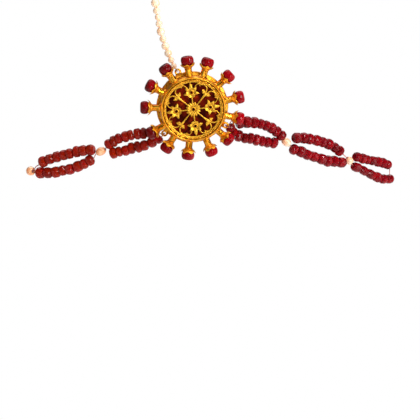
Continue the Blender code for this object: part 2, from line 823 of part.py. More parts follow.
def build_left_outer_strings(group):
    """String the two outer strands of the left side, one of them on to its hook."""
    lower = ruby_rings("left_outer_lower")
    head = thread_out_of("left_joining_pearl", lower[0][0])
    string("left_outer_lower_string", head + lower, "ruby", group)

    upper = ruby_rings("left_outer_upper")
    centre = pearl_centre("left_end_pearl")
    axis = pearl_axis("left_end_pearl")
    half = END_PEARL_SIZE / 2
    loop = eye_loop("left_hair_hook", 90, 300, 5)
    bore = route("left_end_lead") + [centre - axis * (half + GAP), centre - axis * half,
                                     centre + axis * half]
    tail = thread_rings([upper[-1][0]] + bore + loop) + [(loop[-1], THREAD_DIAMETER / 2)]
    string("left_outer_upper_string", upper + tail, "ruby", group)


def build_right_outer_strings(group):
    """String the middle pair of the right side, and the outer pair through its hook."""
    lower = ruby_rings("right_middle_lower")
    head = thread_out_of("right_joining_pearl", lower[0][0])
    string("right_middle_lower_string", head + lower, "ruby", group)

    upper = ruby_rings("right_middle_upper")
    tail = thread_into("right_outer_pearl", upper[-1][0])
    string("right_middle_upper_string", upper + tail, "ruby", group)

    lower = ruby_rings("right_outer_lower")
    upper = ruby_rings("right_outer_upper")
    head = thread_out_of("right_outer_pearl", lower[0][0])
    loop = eye_loop("right_hair_hook", -90, 90, 5)
    turn = thread_rings([lower[-1][0]] + loop + [upper[-1][0]])
    string("right_outer_string", head + lower + turn + upper[::-1], "ruby", group)


def build_top_string(group):
    """String the pearls that climb the parting to the top hook."""
    path = smooth(route("top"))
    sizes = [share * TOP_PEARL for share in TOP_PEARL_SIZES]
    pearls = bead_rings(path, sizes, ROUND_PEARL)
    ring = ring_loop("top", 75)[::-1]
    first = [(ring[0], THREAD_DIAMETER / 2)] + thread_rings(ring + [pearls[0][0]])
    loop = eye_loop("top_hair_hook", 150, -90, 7)
    last = thread_rings([pearls[-1][0]] + loop) + [(loop[-1], THREAD_DIAMETER / 2)]
    string("top_pearl_string", first + pearls + last, "pale_pearl", group)


def main():
    """Build the maang tikka."""
    clear_scene()
    jewel = new_collection("maang_tikka")
    guides = new_collection("cutters")

    medallion = bpy.data.objects.new("medallion", None)
    medallion.matrix_world = medallion_matrix()
    jewel.objects.link(medallion)

    pieces = [(build_frame(jewel, guides), "gold"), (build_glass(jewel), "glass"),
              (build_foil(jewel, guides), "foil")]
    for number in range(1, SETTING_COUNT + 1):
        pieces.append((build_stone(number, jewel), "ruby"))
    for piece, finish in pieces:
        piece.parent = medallion
        finish_piece(piece, finish)

    for side in ("left", "right"):
        build_inner_string(side, jewel)
    build_left_outer_strings(jewel)
    build_right_outer_strings(jewel)
    build_top_string(jewel)
    for name in PEARLS:
        build_pearl(name, jewel)
    for name in HOOKS:
        build_hook(name, jewel)
    bpy.context.view_layer.update()


main()
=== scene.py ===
"""Looks of the maang tikka: gold case, garnet glass, openwork foil, rubies, strands, pearls.

The medallion faces -Y, its height above the back of the plate runs along -Y, and the
side strands follow the brow. All sizes are in metres.
"""

import logging
import math
import random
from dataclasses import dataclass
from enum import Enum
from typing import Callable, Optional, Sequence, Union

import bpy
from mathutils import Matrix, Vector


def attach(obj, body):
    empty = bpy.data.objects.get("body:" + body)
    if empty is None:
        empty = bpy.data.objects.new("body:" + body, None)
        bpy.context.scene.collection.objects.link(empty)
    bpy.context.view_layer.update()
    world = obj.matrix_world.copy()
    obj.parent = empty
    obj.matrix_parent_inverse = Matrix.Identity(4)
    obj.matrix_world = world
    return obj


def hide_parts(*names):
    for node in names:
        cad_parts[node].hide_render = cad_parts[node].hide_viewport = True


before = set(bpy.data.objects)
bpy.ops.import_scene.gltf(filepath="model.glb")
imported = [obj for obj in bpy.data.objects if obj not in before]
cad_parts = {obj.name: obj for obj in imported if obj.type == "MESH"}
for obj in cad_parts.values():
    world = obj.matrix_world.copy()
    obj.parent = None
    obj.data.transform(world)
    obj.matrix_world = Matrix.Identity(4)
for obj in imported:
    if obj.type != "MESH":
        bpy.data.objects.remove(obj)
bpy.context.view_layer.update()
LOG = logging.getLogger("maang_tikka")

# Places of the solids, which the pieces here follow
ROLL_DEG = 6.5
SETTING_COUNT = 13
SETTING_LEANS = (0.0, 3.3, 0.6, -0.9, 0.9, -0.6, 2.4, 1.3, 1.6, 3.0, -1.2, -0.5, 0.3)
SETTING_HEIGHT = 0.0032
THREAD_RADIUS = 0.00025
BROW_RADIUS = 0.140
CROWN_RADIUS = 0.130
BROW_STANDOFF = 0.0016
# Air between a thread and a wire that it loops, and between two ends in a pearl's bore
WIRE_GAP = 0.00035
GAP = 0.0003

# Points nearer than these are one, in a piece and in a thin wire
MERGE = 1e-6
WIRE_MERGE = 1e-7
# Share of its strength that each finer layer of a noise keeps
FALLOFF = 0.55
ORIGIN = (0.0, 0.0, 0.0)

# Routes of the strings: x, z and the depth behind the brow line
ROUTES = {
    "left_inner_lead": ((-0.0136, -0.0102, -0.0011),),
    "left_inner_upper": ((-0.0157, -0.0109, 0.0002), (-0.0184, -0.0109, 0.0002),
                         (-0.0232, -0.0115, 0.0), (-0.0285, -0.0131, 0.0),
                         (-0.0331, -0.0153, -0.0002), (-0.0346, -0.0166, -0.0002)),
    "left_inner_lower": ((-0.0129, -0.0121, 0.0002), (-0.0148, -0.0142, 0.0002),
                         (-0.0182, -0.0157, 0.0002), (-0.0262, -0.0179, 0.0),
                         (-0.0328, -0.0196, 0.0004)),
    "left_outer_upper": ((-0.0392, -0.0180, 0.0), (-0.0459, -0.0194, 0.0),
                         (-0.0546, -0.0220, 0.0), (-0.0600, -0.0243, 0.0),
                         (-0.0613, -0.0254, 0.0)),
    "left_end_lead": ((-0.0632, -0.0264, -0.0014),),
    "left_outer_lower": ((-0.0398, -0.0223, 0.0002), (-0.0470, -0.0259, 0.0),
                         (-0.0559, -0.0286, 0.0), (-0.0631, -0.0295, 0.0)),
    "right_inner_lead": ((0.0160, -0.0062, -0.0011),),
    "right_inner_upper": ((0.0179, -0.0078, 0.0002), (0.0210, -0.0074, 0.0002),
                          (0.0250, -0.0073, 0.0), (0.0318, -0.0097, 0.0),
                          (0.0365, -0.0132, 0.0), (0.0377, -0.0145, 0.0)),
    "right_inner_lower": ((0.0152, -0.0080, 0.0002), (0.0161, -0.0103, 0.0002),
                          (0.0178, -0.0124, 0.0002), (0.0203, -0.0133, 0.0),
                          (0.0285, -0.0151, 0.0), (0.0350, -0.0169, 0.0)),
    "right_middle_upper": ((0.0420, -0.0147, -0.0002), (0.0486, -0.0159, 0.0),
                           (0.0566, -0.0185, 0.0), (0.0621, -0.0219, 0.0),
                           (0.0636, -0.0232, 0.0)),
    "right_middle_lower": ((0.0414, -0.0191, 0.0004), (0.0440, -0.0206, 0.0002),
                           (0.0491, -0.0228, 0.0), (0.0565, -0.0258, 0.0),
                           (0.0652, -0.0278, 0.0)),
    "right_outer_upper": ((0.0697, -0.0255, 0.0), (0.0755, -0.0276, 0.0),
                          (0.0830, -0.0301, 0.0), (0.0869, -0.0318, 0.0)),
    "right_outer_lower": ((0.0691, -0.0295, 0.0), (0.0757, -0.0331, 0.0),
                          (0.0826, -0.0370, 0.0), (0.0882, -0.0378, 0.0)),
    "top": ((-0.0066, 0.0150, 0.0), (-0.0090, 0.0204, 0.0), (-0.0117, 0.0280, 0.0),
            (-0.0130, 0.0345, 0.0), (-0.0142, 0.0422, 0.0)),
}

# Each joining pearl: its place as in a route, the way of its bore, its length and diameter
JOINING_PEARLS = {
    "left_joining_pearl": ((-0.03666, -0.0189, 0.0), (-0.82, 0.3, -0.45), 0.0043, 0.0034),
    "left_end_pearl": ((-0.0655, -0.0288, 0.0), (-0.5, 0.85, -0.15), 0.0038, 0.0038),
    "right_joining_pearl": ((0.0391, -0.01654, 0.0), (0.7, 0.28, -0.65), 0.0043, 0.0034),
    "right_outer_pearl": ((0.0673, -0.0271, 0.0), (0.6, 0.25, -0.75), 0.0034, 0.0034),
}

# Each hook: the place of its eye, the way of its stem, the way across to its tip, and the
# first and last angle of the thread that loops its eye, with the steps between them
HAIR_HOOKS = {
    "left_hair_hook": ((-0.0657, -0.0303, 0.0066), (0.0, 0.976, -0.218), (1.0, 0.0, 0.0),
                       (90, 300, 12)),
    "right_hair_hook": ((0.0885, -0.0393, 0.0070), (0.0, 0.976, -0.218), (-1.0, 0.0, 0.0),
                        (-90, 90, 12)),
    "top_hair_hook": ((-0.0147, 0.0463, 0.0002), (0.0, 0.0, 1.0), (1.0, 0.0, 0.0),
                      (150, -90, 14)),
}

# Sizes of the pearls up the parting, against a seed pearl of 3 mm, and the outline of one
SEED_PEARL = 0.003
PARTING_SHARES = (0.87, 0.93, 1.13, 1.07, 1.0, 1.2, 1.0, 0.87, 1.0, 1.25)
SEED_PROFILE = ((0.05, 0.98), (0.3, 0.95), (0.6, 0.8), (0.85, 0.52), (0.98, 0.18),
                (0.98, -0.18), (0.85, -0.52), (0.6, -0.8), (0.3, -0.95), (0.05, -0.98))

# Each light: where it hangs, what it points at, the width of its square and its power
LIGHTS = {
    "front": ((0.26, -0.62, 0.12), ORIGIN, 0.24, 2.7),
    "right": ((0.60, -0.20, 0.05), ORIGIN, 0.4, 1.6),
    "left": ((-0.60, -0.20, 0.05), ORIGIN, 0.4, 0.6),
    "key": ((0.35, -0.30, 0.60), ORIGIN, 0.08, 2.0),
    "glint": ((0.55, -0.45, 0.35), (0.05, 0.0, 0.0), 0.06, 1.2),
    "ceiling": ((0.0, -0.35, 0.85), ORIGIN, 0.9, 2.2),
    "overhead": ((0.0, 2.2, 2.2), (0.0, 2.2, -0.3), 3.4, 80.0),
}


class Side(Enum):
    """Where a ring is soldered to the plate: its place among the settings, and its lean."""

    LEFT = (9.5, 1.95)
    RIGHT = (5.5, -1.55)
    TOP = (13.5, 1.4)

    def label(self) -> str:
        """Word for it in the names of pieces."""
        return self.name.lower()


class Lie(Enum):
    """Which way a thread runs through a pearl's bore."""

    IN = -1
    OUT = 1


# Small tools

def edit() -> None:
    """Go into edit mode, with all of the active piece selected."""
    bpy.ops.object.mode_set(mode="EDIT")
    bpy.ops.mesh.select_all(action="SELECT")


def leave() -> None:
    """Go back to object mode."""
    bpy.ops.object.mode_set(mode="OBJECT")


def deselect_all() -> None:
    """Leave nothing selected, in object mode."""
    if bpy.context.object and bpy.context.object.mode != "OBJECT":
        leave()
    bpy.ops.object.select_all(action="DESELECT")


def take(piece: bpy.types.Object) -> None:
    """Select one piece alone and make it active.

    Args:
        piece: the piece.
    """
    deselect_all()
    piece.select_set(True)
    bpy.context.view_layer.objects.active = piece


def named(piece: bpy.types.Object, name: str) -> bpy.types.Object:
    """Name a piece and its mesh.

    Args:
        piece: the piece.
        name: its new name.

    Returns:
        The same piece.
    """
    piece.name = name
    piece.data.name = name
    return piece


def select_points(piece: bpy.types.Object, test: Callable[[Vector], bool]) -> None:
    """Select a piece's vertices by their place, in edit mode.

    Args:
        piece: the piece that is being edited.
        test: says from a vertex's place whether it is taken.
    """
    bpy.ops.mesh.select_mode(type="VERT")
    bpy.ops.mesh.select_all(action="DESELECT")
    leave()
    for vertex in piece.data.vertices:
        vertex.select = test(vertex.co)
    bpy.ops.object.mode_set(mode="EDIT")


def resize_about(centre: Sequence[float], factors: Sequence[float]) -> None:
    """Scale what is selected about a point."""
    bpy.ops.transform.resize(value=tuple(factors), center_override=tuple(centre))


def widen(factor: float) -> None:
    """Scale what is selected away from the Z axis, or towards it."""
    resize_about(ORIGIN, (factor, factor, 1.0))


def lift(height: float) -> None:
    """Move what is selected along Z."""
    bpy.ops.transform.translate(value=(0.0, 0.0, height))


def from_axis(place: Vector) -> float:
    """Distance of a place from the Z axis."""
    return math.hypot(place.x, place.y)


def column(place: Vector, sides: int) -> int:
    """Number of the column that a turned piece's vertex is in, counted from +X."""
    return round(math.atan2(place.y, place.x) / (2 * math.pi / sides)) % sides


def shade_by(degrees: float) -> None:
    """Shade the piece smooth, apart from the edges that are sharper than an angle."""
    bpy.ops.object.shade_smooth_by_angle(angle=math.radians(degrees))


def close_shape(merge: float = MERGE) -> None:
    """Merge doubles and turn the faces outwards, in edit mode, then leave it.

    Args:
        merge: points nearer than this become one.
    """
    bpy.ops.mesh.select_all(action="SELECT")
    bpy.ops.mesh.remove_doubles(threshold=merge)
    bpy.ops.mesh.normals_make_consistent(inside=False)
    leave()


def turned(name: str, profile: Sequence[tuple[float, float]], sides: int,
           capped: bool = True, smooth_deg: float = 38.0) -> bpy.types.Object:
    """Turn a profile about Z: a circle is extruded and resized ring by ring.

    Args:
        name: name of the new piece.
        profile: radius and height of each ring, in order.
        sides: vertices round each ring.
        capped: close the first and the last ring with a face; otherwise they are merged
            where the profile comes back to its start.
        smooth_deg: edges sharper than this stay sharp.

    Returns:
        The new piece, in object mode.
    """
    deselect_all()
    radius, height = profile[0]
    bpy.ops.mesh.primitive_circle_add(vertices=sides, radius=radius, fill_type="NOTHING")
    piece = named(bpy.context.object, name)
    edit()
    lift(height)
    for ring_radius, ring_height in profile[1:]:
        move = (0.0, 0.0, ring_height - height)
        bpy.ops.mesh.extrude_region_move(TRANSFORM_OT_translate={"value": move})
        widen(ring_radius / radius)
        radius, height = ring_radius, ring_height
    if capped:
        bpy.ops.mesh.edge_face_add()
        first_radius, first_height = profile[0]
        near = 0.01 * first_radius
        select_points(piece, lambda p: abs(p.z - first_height) < near
                      and abs(from_axis(p) - first_radius) < near)
        bpy.ops.mesh.edge_face_add()
    close_shape()
    shade_by(smooth_deg)
    return piece


def apply_modifier(piece: bpy.types.Object, kind: str, **settings: object) -> None:
    """Add a modifier with its settings and apply it.

    Args:
        piece: the piece that takes it.
        kind: the modifier's type.
        **settings: its properties.
    """
    take(piece)
    modifier = piece.modifiers.new(kind.lower(), kind)
    for key, value in settings.items():
        setattr(modifier, key, value)
    bpy.ops.object.modifier_apply(modifier=modifier.name)


def roughen(piece: bpy.types.Object, name: str, width: float, depth: float) -> None:
    """Give a surface soft bumps, as of hand work.

    Args:
        piece: the piece that takes them.
        name: name of their texture.
        width: width of a bump.
        depth: height from the lowest to the highest.
    """
    bumps = bpy.data.textures.new(name, "CLOUDS")
    bumps.noise_scale = width
    apply_modifier(piece, "DISPLACE", texture=bumps, texture_coords="LOCAL",
                   strength=depth, mid_level=0.5)


def settle(piece: bpy.types.Object, place: Matrix) -> bpy.types.Object:
    """Put a piece in its place and leave the place in its mesh.

    Args:
        piece: the piece, made about the origin.
        place: where it goes.

    Returns:
        The same piece, with its object at the origin.
    """
    take(piece)
    piece.matrix_world = place
    bpy.ops.object.transform_apply(location=True, rotation=True, scale=True)
    return piece


def copy_of(piece: bpy.types.Object, name: str) -> bpy.types.Object:
    """Copy a piece with a mesh of its own.

    Args:
        piece: the piece to copy.
        name: name of the copy.

    Returns:
        The copy.
    """
    take(piece)
    bpy.ops.object.duplicate(linked=False)
    return named(bpy.context.object, name)


def join(pieces: Sequence[bpy.types.Object], name: str) -> bpy.types.Object:
    """Make one piece of several.

    Args:
        pieces: what is joined.
        name: name of the whole.

    Returns:
        The whole.
    """
    deselect_all()
    for piece in pieces:
        piece.select_set(True)
    bpy.context.view_layer.objects.active = pieces[0]
    if len(pieces) > 1:
        bpy.ops.object.join()
    return named(bpy.context.object, name)


def discard(piece: bpy.types.Object) -> None:
    """Remove a pattern piece that was only copied."""
    bpy.data.objects.remove(piece, do_unlink=True)


def drawn_wire(name: str, points: Sequence[Vector], radius: float, resolution: int = 2,
               shares: Optional[Sequence[float]] = None) -> bpy.types.Object:
    """Draw a round wire through points and make it a mesh.

    Args:
        name: name of the new piece.
        points: the line that it follows.
        radius: its radius.
        resolution: roundness of its section.
        shares: share of the radius at each point, or None for all of it.

    Returns:
        The wire, as a closed mesh.
    """
    data = bpy.data.curves.new(name, "CURVE")
    data.dimensions = "3D"
    data.bevel_depth = radius
    data.bevel_resolution = resolution
    data.use_fill_caps = True
    spline = data.splines.new("POLY")
    spline.points.add(len(points) - 1)
    for index, place in enumerate(points):
        spline.points[index].co = (place[0], place[1], place[2], 1.0)
        spline.points[index].radius = 1.0 if shares is None else shares[index]
    piece = bpy.data.objects.new(name, data)
    bpy.context.scene.collection.objects.link(piece)
    take(piece)
    bpy.ops.object.convert(target="MESH")
    piece = bpy.context.object
    edit()
    close_shape(WIRE_MERGE)
    shade_by(50.0)
    return piece


def polar(distance: float, degrees: float, height: float = 0.0) -> Vector:
    """Give the point at a distance, an angle and a height from the centre."""
    angle = math.radians(degrees)
    return Vector((distance * math.cos(angle), distance * math.sin(angle), height))


def swivel(degrees: float, place: Sequence[float] = ORIGIN) -> Matrix:
    """Turn about Z, and then move to a place."""
    return Matrix.Translation(place) @ Matrix.Rotation(math.radians(degrees), 4, "Z")


def facing(direction: Vector) -> Matrix:
    """Turn from +Z to a direction."""
    return direction.to_track_quat("Z", "Y").to_matrix().to_4x4()


def medallion_turn() -> Matrix:
    """Turn from the medallion's own frame, facing +Z, to the jewel's frame."""
    return (Matrix.Rotation(math.radians(-ROLL_DEG), 4, "Y")
            @ Matrix.Rotation(math.radians(90), 4, "X"))


def setting_angle(number: float) -> float:
    """Angle of the even place of a setting, counted clockwise from the top."""
    return 90.0 - (number - 1) * 360.0 / SETTING_COUNT


def smooth_line(points: Sequence[Vector], steps: int = 6) -> list[Vector]:
    """Points on a smooth line through chosen points.

    Args:
        points: the chosen points.
        steps: points between two of them.

    Returns:
        The points of the line.
    """
    ends = [2 * points[0] - points[1], *points, 2 * points[-1] - points[-2]]
    line = []
    for a, b, c, d in zip(ends, ends[1:], ends[2:], ends[3:]):
        for step in range(steps):
            t = step / steps
            line.append(0.5 * ((2 * b) + (c - a) * t + (2 * a - 5 * b + 4 * c - d) * t ** 2
                               + (3 * b - a - 3 * c + d) * t ** 3))
    line.append(points[-1].copy())
    return line


def line_length(line: Sequence[Vector]) -> float:
    """Length of a line."""
    return sum((b - a).length for a, b in zip(line, line[1:]))


def point_at(line: Sequence[Vector], distance: float) -> Vector:
    """Give the point at a distance along a line.

    Args:
        line: the line.
        distance: how far along it.

    Returns:
        The point, which is the line's last beyond its end.
    """
    left = distance
    for a, b in zip(line, line[1:]):
        span = (b - a).length
        if left <= span:
            return a.lerp(b, left / span)
        left -= span
    return line[-1].copy()


def brow_point(x: float, z: float, depth: float = 0.0) -> Vector:
    """Give the point on the brow at x and z, and a depth behind it.

    Args:
        x: place to the right.
        z: place upwards.
        depth: how far behind the brow line.

    Returns:
        The point.
    """
    rise = max(z, 0.0)
    curve = x * x / (2 * BROW_RADIUS) + rise * rise / (2 * CROWN_RADIUS)
    return Vector((x, BROW_STANDOFF + curve + depth, z))


def route(name: str) -> list[Vector]:
    """Chosen points of one string, over the brow."""
    return [brow_point(x, z, depth) for x, z, depth in ROUTES[name]]


def row_line(name: str) -> list[Vector]:
    """Smooth line of one row of beads or pearls."""
    return smooth_line(route(name))


# Materials

def linear(colour: str) -> tuple[float, float, float, float]:
    """Give the linear colour of an sRGB hex code."""
    parts = [int(colour[i:i + 2], 16) / 255 for i in (1, 3, 5)]
    return (*(p / 12.92 if p <= 0.04045 else ((p + 0.055) / 1.055) ** 2.4 for p in parts), 1.0)


class Recipe:
    """The node tree of one material, which grows node by node."""

    def __init__(self, name: str) -> None:
        """Start a material with its shader alone.

        Args:
            name: name of the material.
        """
        self.material = bpy.data.materials.new(name)
        self.material.use_nodes = True
        self.tree = self.material.node_tree
        self.shader = self.tree.nodes["Principled BSDF"]

    def feed(self, socket: bpy.types.NodeSocket, value: object) -> None:
        """Link a socket from another, or set it to a value, a hex code among them.

        Args:
            socket: the socket that is fed.
            value: a socket, a plain value or a hex code.
        """
        if isinstance(value, bpy.types.NodeSocket):
            self.tree.links.new(value, socket)
        else:
            socket.default_value = linear(value) if isinstance(value, str) else value

    def add(self, kind: str, inputs: dict[Union[int, str], object],
            output: Union[int, str] = 0, **settings: object) -> bpy.types.NodeSocket:
        """Add a node.

        Args:
            kind: the node's type.
            inputs: for each of its sockets a value, or the socket that it is linked from.
            output: which of its results is wanted.
            settings: its properties.

        Returns:
            The socket of the wanted result.
        """
        node = self.tree.nodes.new(kind)
        for key, value in settings.items():
            setattr(node, key, value)
        for key, value in inputs.items():
            self.feed(node.inputs[key], value)
        return node.outputs[output]

    def finish(self, **values: object) -> bpy.types.Material:
        """Set or link the shader's sockets.

        Args:
            values: a value or socket for each, its name with _ for a space.

        Returns:
            The finished material.
        """
        for key, value in values.items():
            self.feed(self.shader.inputs[key.replace("_", " ")], value)
        return self.material


@dataclass(frozen=True)
class GoldFinish:
    """Thick 22 karat gold plating on hammered brass, burnished by hand.

    To the eye: broad yellow highlights that bend over shallow dents, with orange where one
    surface mirrors another.
    """

    name: str
    bright: str = "#ffc040"
    deep: str = "#d08410"
    roughness: float = 0.2
    # A small planishing hammer leaves dents 1.6 mm across and a few hundredths deep.
    dent_mm: float = 1.6
    dent_depth_mm: float = 0.03
    # Burnishing lines are some 0.02 mm apart, too fine to show, so they are drawn coarser.
    grain_mm: float = 0.25
    grain_depth_mm: float = 0.006

    def make(self) -> bpy.types.Material:
        """Give the material.

        Returns:
            Gold with wear, grain and dents.
        """
        recipe = Recipe(self.name)
        spot = recipe.add("ShaderNodeTexCoord", {}, "Object")
        # Grease and wear shade the gold in spots a little wider than the dents.
        wear = recipe.add("ShaderNodeTexNoise", {
            "Vector": spot, "Scale": 1000 / (1.3 * self.dent_mm), "Detail": 4.0,
            "Roughness": FALLOFF})
        tone = recipe.add("ShaderNodeMapRange", {
            "Value": wear, "From Min": 0.35, "From Max": 0.68})
        colour = recipe.add("ShaderNodeMix", {0: tone, 6: self.deep, 7: self.bright}, 2,
                            data_type="RGBA")
        grain = recipe.add("ShaderNodeTexNoise", {
            "Vector": spot, "Scale": 1000 / self.grain_mm, "Detail": 2.0, "Roughness": FALLOFF})
        gloss = recipe.add("ShaderNodeMapRange", {
            "Value": grain, "From Min": 0.3, "From Max": 0.7,
            "To Min": 0.7 * self.roughness, "To Max": 1.4 * self.roughness})
        blows = recipe.add("ShaderNodeTexNoise", {
            "Vector": spot, "Scale": 1000 / self.dent_mm, "Detail": 2.0, "Roughness": FALLOFF})
        dents = recipe.add("ShaderNodeBump", {
            "Height": blows, "Distance": self.dent_depth_mm / 1000, "Strength": 1.0})
        relief = recipe.add("ShaderNodeBump", {
            "Height": grain, "Distance": self.grain_depth_mm / 1000, "Strength": 1.0,
            "Normal": dents})
        return recipe.finish(Base_Color=colour, Metallic=1.0, Roughness=gloss, Normal=relief)


@dataclass(frozen=True)
class FoilFinish:
    """24 karat gold foil, pierced and embossed over a die.

    To the eye: bright satin yellow on its raised edges, which the die's counterpart rubbed,
    and orange-brown where it is pressed down. The colour follows the foil's height: painted
    shade in the low, pressed-down places and painted light on the raised edges, besides the
    rubbing, under a random grain.
    """

    name: str = "embossed_24k_gold_foil"
    bright: str = "#e8b238"
    deep: str = "#8a4c08"
    # The foil's lowest and highest places in front of the back plate.
    low_mm: float = 5.5
    high_mm: float = 6.1
    # The foil's crinkles are some 0.05 mm wide, too fine to show, so they are drawn coarser.
    grain_mm: float = 0.28
    # The die's counterpart leaves a satin that runs from smooth to matt within them.
    smooth: float = 0.36
    matt: float = 0.54

    def make(self) -> bpy.types.Material:
        """Give the material.

        Returns:
            Foil, deep where it lies low and bright where it stands up: painted shade and
            painted light by height.
        """
        recipe = Recipe(self.name)
        spot = recipe.add("ShaderNodeTexCoord", {}, "Object")
        # Painted light: the colour follows the height, painted shade where the foil lies low
        # and painted light where it stands up; the random grain breaks it up as wear.
        forward = recipe.add("ShaderNodeSeparateXYZ", {"Vector": spot}, "Y")
        height = recipe.add("ShaderNodeMapRange", {
            "Value": forward, "From Min": -self.low_mm / 1000,
            "From Max": -self.high_mm / 1000})
        grain = recipe.add("ShaderNodeTexNoise", {
            "Vector": spot, "Scale": 1000 / self.grain_mm, "Detail": 2.0, "Roughness": FALLOFF})
        patchy = recipe.add("ShaderNodeMapRange", {
            "Value": grain, "From Min": 0.3, "From Max": 0.6, "To Min": 0.55, "To Max": 1.1})
        painted_height_light_and_wear = recipe.add("ShaderNodeMath", {0: height, 1: patchy}, operation="MULTIPLY",
                          use_clamp=True)
        colour = recipe.add("ShaderNodeMix", {0: painted_height_light_and_wear, 6: self.deep, 7: self.bright}, 2,
                            data_type="RGBA")
        gloss = recipe.add("ShaderNodeMapRange", {
            "Value": grain, "From Min": 0.3, "From Max": 0.7, "To Min": self.smooth,
            "To Max": self.matt})
        relief = recipe.add("ShaderNodeBump", {
            "Height": grain, "Distance": 0.00003, "Strength": 1.0})
        return recipe.finish(Base_Color=colour, Metallic=1.0, Roughness=gloss, Normal=relief)


@dataclass(frozen=True)
class GarnetFinish:
    """Garnet-red glass, ground flat and laid on creased red foil.

    To the eye: a nearly black red, with orange-red patches and small glints where creased
    foil under the glass would throw the light back; both are painted reflection in the glass's
    colour. The openwork shades it, so its mirror image of the studio is weak.
    """

    name: str = "garnet_glass"
    deep: str = "#2c0402"
    painted_reflection_colour: str = "#6a1404"
    painted_glint_colour: str = "#b8400c"
    # The painted reflection comes in patches of 3.4 mm, as from foil creased into fields under
    # the glass, and in glints half as wide, as from their folds.
    patch_mm: float = 3.4
    # A ground face waves by 0.02 mm over some 2 mm.
    wave_mm: float = 2.2

    def make(self) -> bpy.types.Material:
        """Give the material.

        Returns:
            Dark red glass with patches and glints of painted reflection.
        """
        recipe = Recipe(self.name)
        spot = recipe.add("ShaderNodeTexCoord", {}, "Object")
        fields = recipe.add("ShaderNodeTexNoise", {
            "Vector": spot, "Scale": 1000 / self.patch_mm, "Detail": 3.0, "Roughness": FALLOFF})
        patches = recipe.add("ShaderNodeMapRange", {
            "Value": fields, "From Min": 0.4, "From Max": 0.66})
        folds = recipe.add("ShaderNodeTexNoise", {
            "Vector": spot, "Scale": 1000 / (0.45 * self.patch_mm), "Detail": 2.0,
            "Roughness": FALLOFF})
        painted_glint_mask = recipe.add("ShaderNodeMapRange", {
            "Value": folds, "From Min": 0.62, "From Max": 0.78, "To Max": 0.8})
        # Painted reflection: patches and glints lighten the glass where foil under it would
        # throw the light back.
        body = recipe.add("ShaderNodeMix", {0: patches, 6: self.deep, 7: self.painted_reflection_colour}, 2,
                          data_type="RGBA")
        colour = recipe.add("ShaderNodeMix", {0: painted_glint_mask, 6: body, 7: self.painted_glint_colour}, 2,
                            data_type="RGBA")
        waves = recipe.add("ShaderNodeTexNoise", {
            "Vector": spot, "Scale": 1000 / self.wave_mm, "Detail": 1.0, "Roughness": FALLOFF})
        relief = recipe.add("ShaderNodeBump", {
            "Height": waves, "Distance": 0.00002, "Strength": 1.0})
        return recipe.finish(Base_Color=colour, Roughness=0.25, Specular_IOR_Level=0.08,
                             Specular_Tint=(1.0, 0.5, 0.35, 1.0), Normal=relief)


@dataclass(frozen=True)
class RubyFinish:
    """Opaque ruby, cut into small facets and polished.

    To the eye: a deep red that light enters a little way, with a small white glint on the
    facets that face the lamp. Its colour runs from left to right across the jewel, which
    paints the light in: painted shade with browner reflected light on the left side, and the
    brighter lit red on the right. The index is corundum's; the mirror image is weakened,
    because the photographed stones show no haze from a pale studio.
    """

    name: str
    # The left and right colours are painted light: shade and browner reflected light on the
    # jewel's left side, the brighter lit red on its right.
    left: str = "#4a0906"
    right: str = "#a0000e"
    core: str = "#980610"
    dark: str = "#440605"
    roughness: float = 0.09
    # Rough ruby has clouds of 3 to 6 mm, so that one bead differs from the next.
    cloud_mm: float = 3.6

    def make(self) -> bpy.types.Material:
        """Give the material.

        Returns:
            Clouded ruby, browner on the left, where its colour paints shade and reflected
            light.
        """
        recipe = Recipe(self.name)
        spot = recipe.add("ShaderNodeTexCoord", {}, "Object")
        # Painted light across the jewel: the colour runs along X from the shaded left to the
        # lit right.
        sideways = recipe.add("ShaderNodeSeparateXYZ", {"Vector": spot}, "X")
        across = recipe.add("ShaderNodeMapRange", {
            "Value": sideways, "From Min": -0.03, "From Max": 0.03})
        clouds = recipe.add("ShaderNodeTexNoise", {
            "Vector": spot, "Scale": 1000 / self.cloud_mm, "Detail": 1.0, "Roughness": FALLOFF})
        lit = recipe.add("ShaderNodeMapRange", {
            "Value": clouds, "From Min": 0.45, "From Max": 0.7, "To Max": 0.6})
        veins = recipe.add("ShaderNodeTexNoise", {
            "Vector": spot, "Scale": 1000 / (1.7 * self.cloud_mm), "Detail": 1.0,
            "Roughness": FALLOFF})
        shade = recipe.add("ShaderNodeMapRange", {
            "Value": veins, "From Min": 0.5, "From Max": 0.75, "To Max": 0.7})
        body = recipe.add("ShaderNodeMix", {0: across, 6: self.left, 7: self.right}, 2,
                          data_type="RGBA")
        cloudy = recipe.add("ShaderNodeMix", {0: lit, 6: body, 7: self.core}, 2,
                            data_type="RGBA")
        colour = recipe.add("ShaderNodeMix", {0: shade, 6: cloudy, 7: self.dark}, 2,
                            data_type="RGBA")
        return recipe.finish(Base_Color=colour, Roughness=self.roughness, IOR=1.77,
                             Specular_IOR_Level=0.067, Subsurface_Weight=0.3,
                             Subsurface_Radius=(0.0015, 0.0001, 0.0001),
                             Subsurface_Scale=1.0)


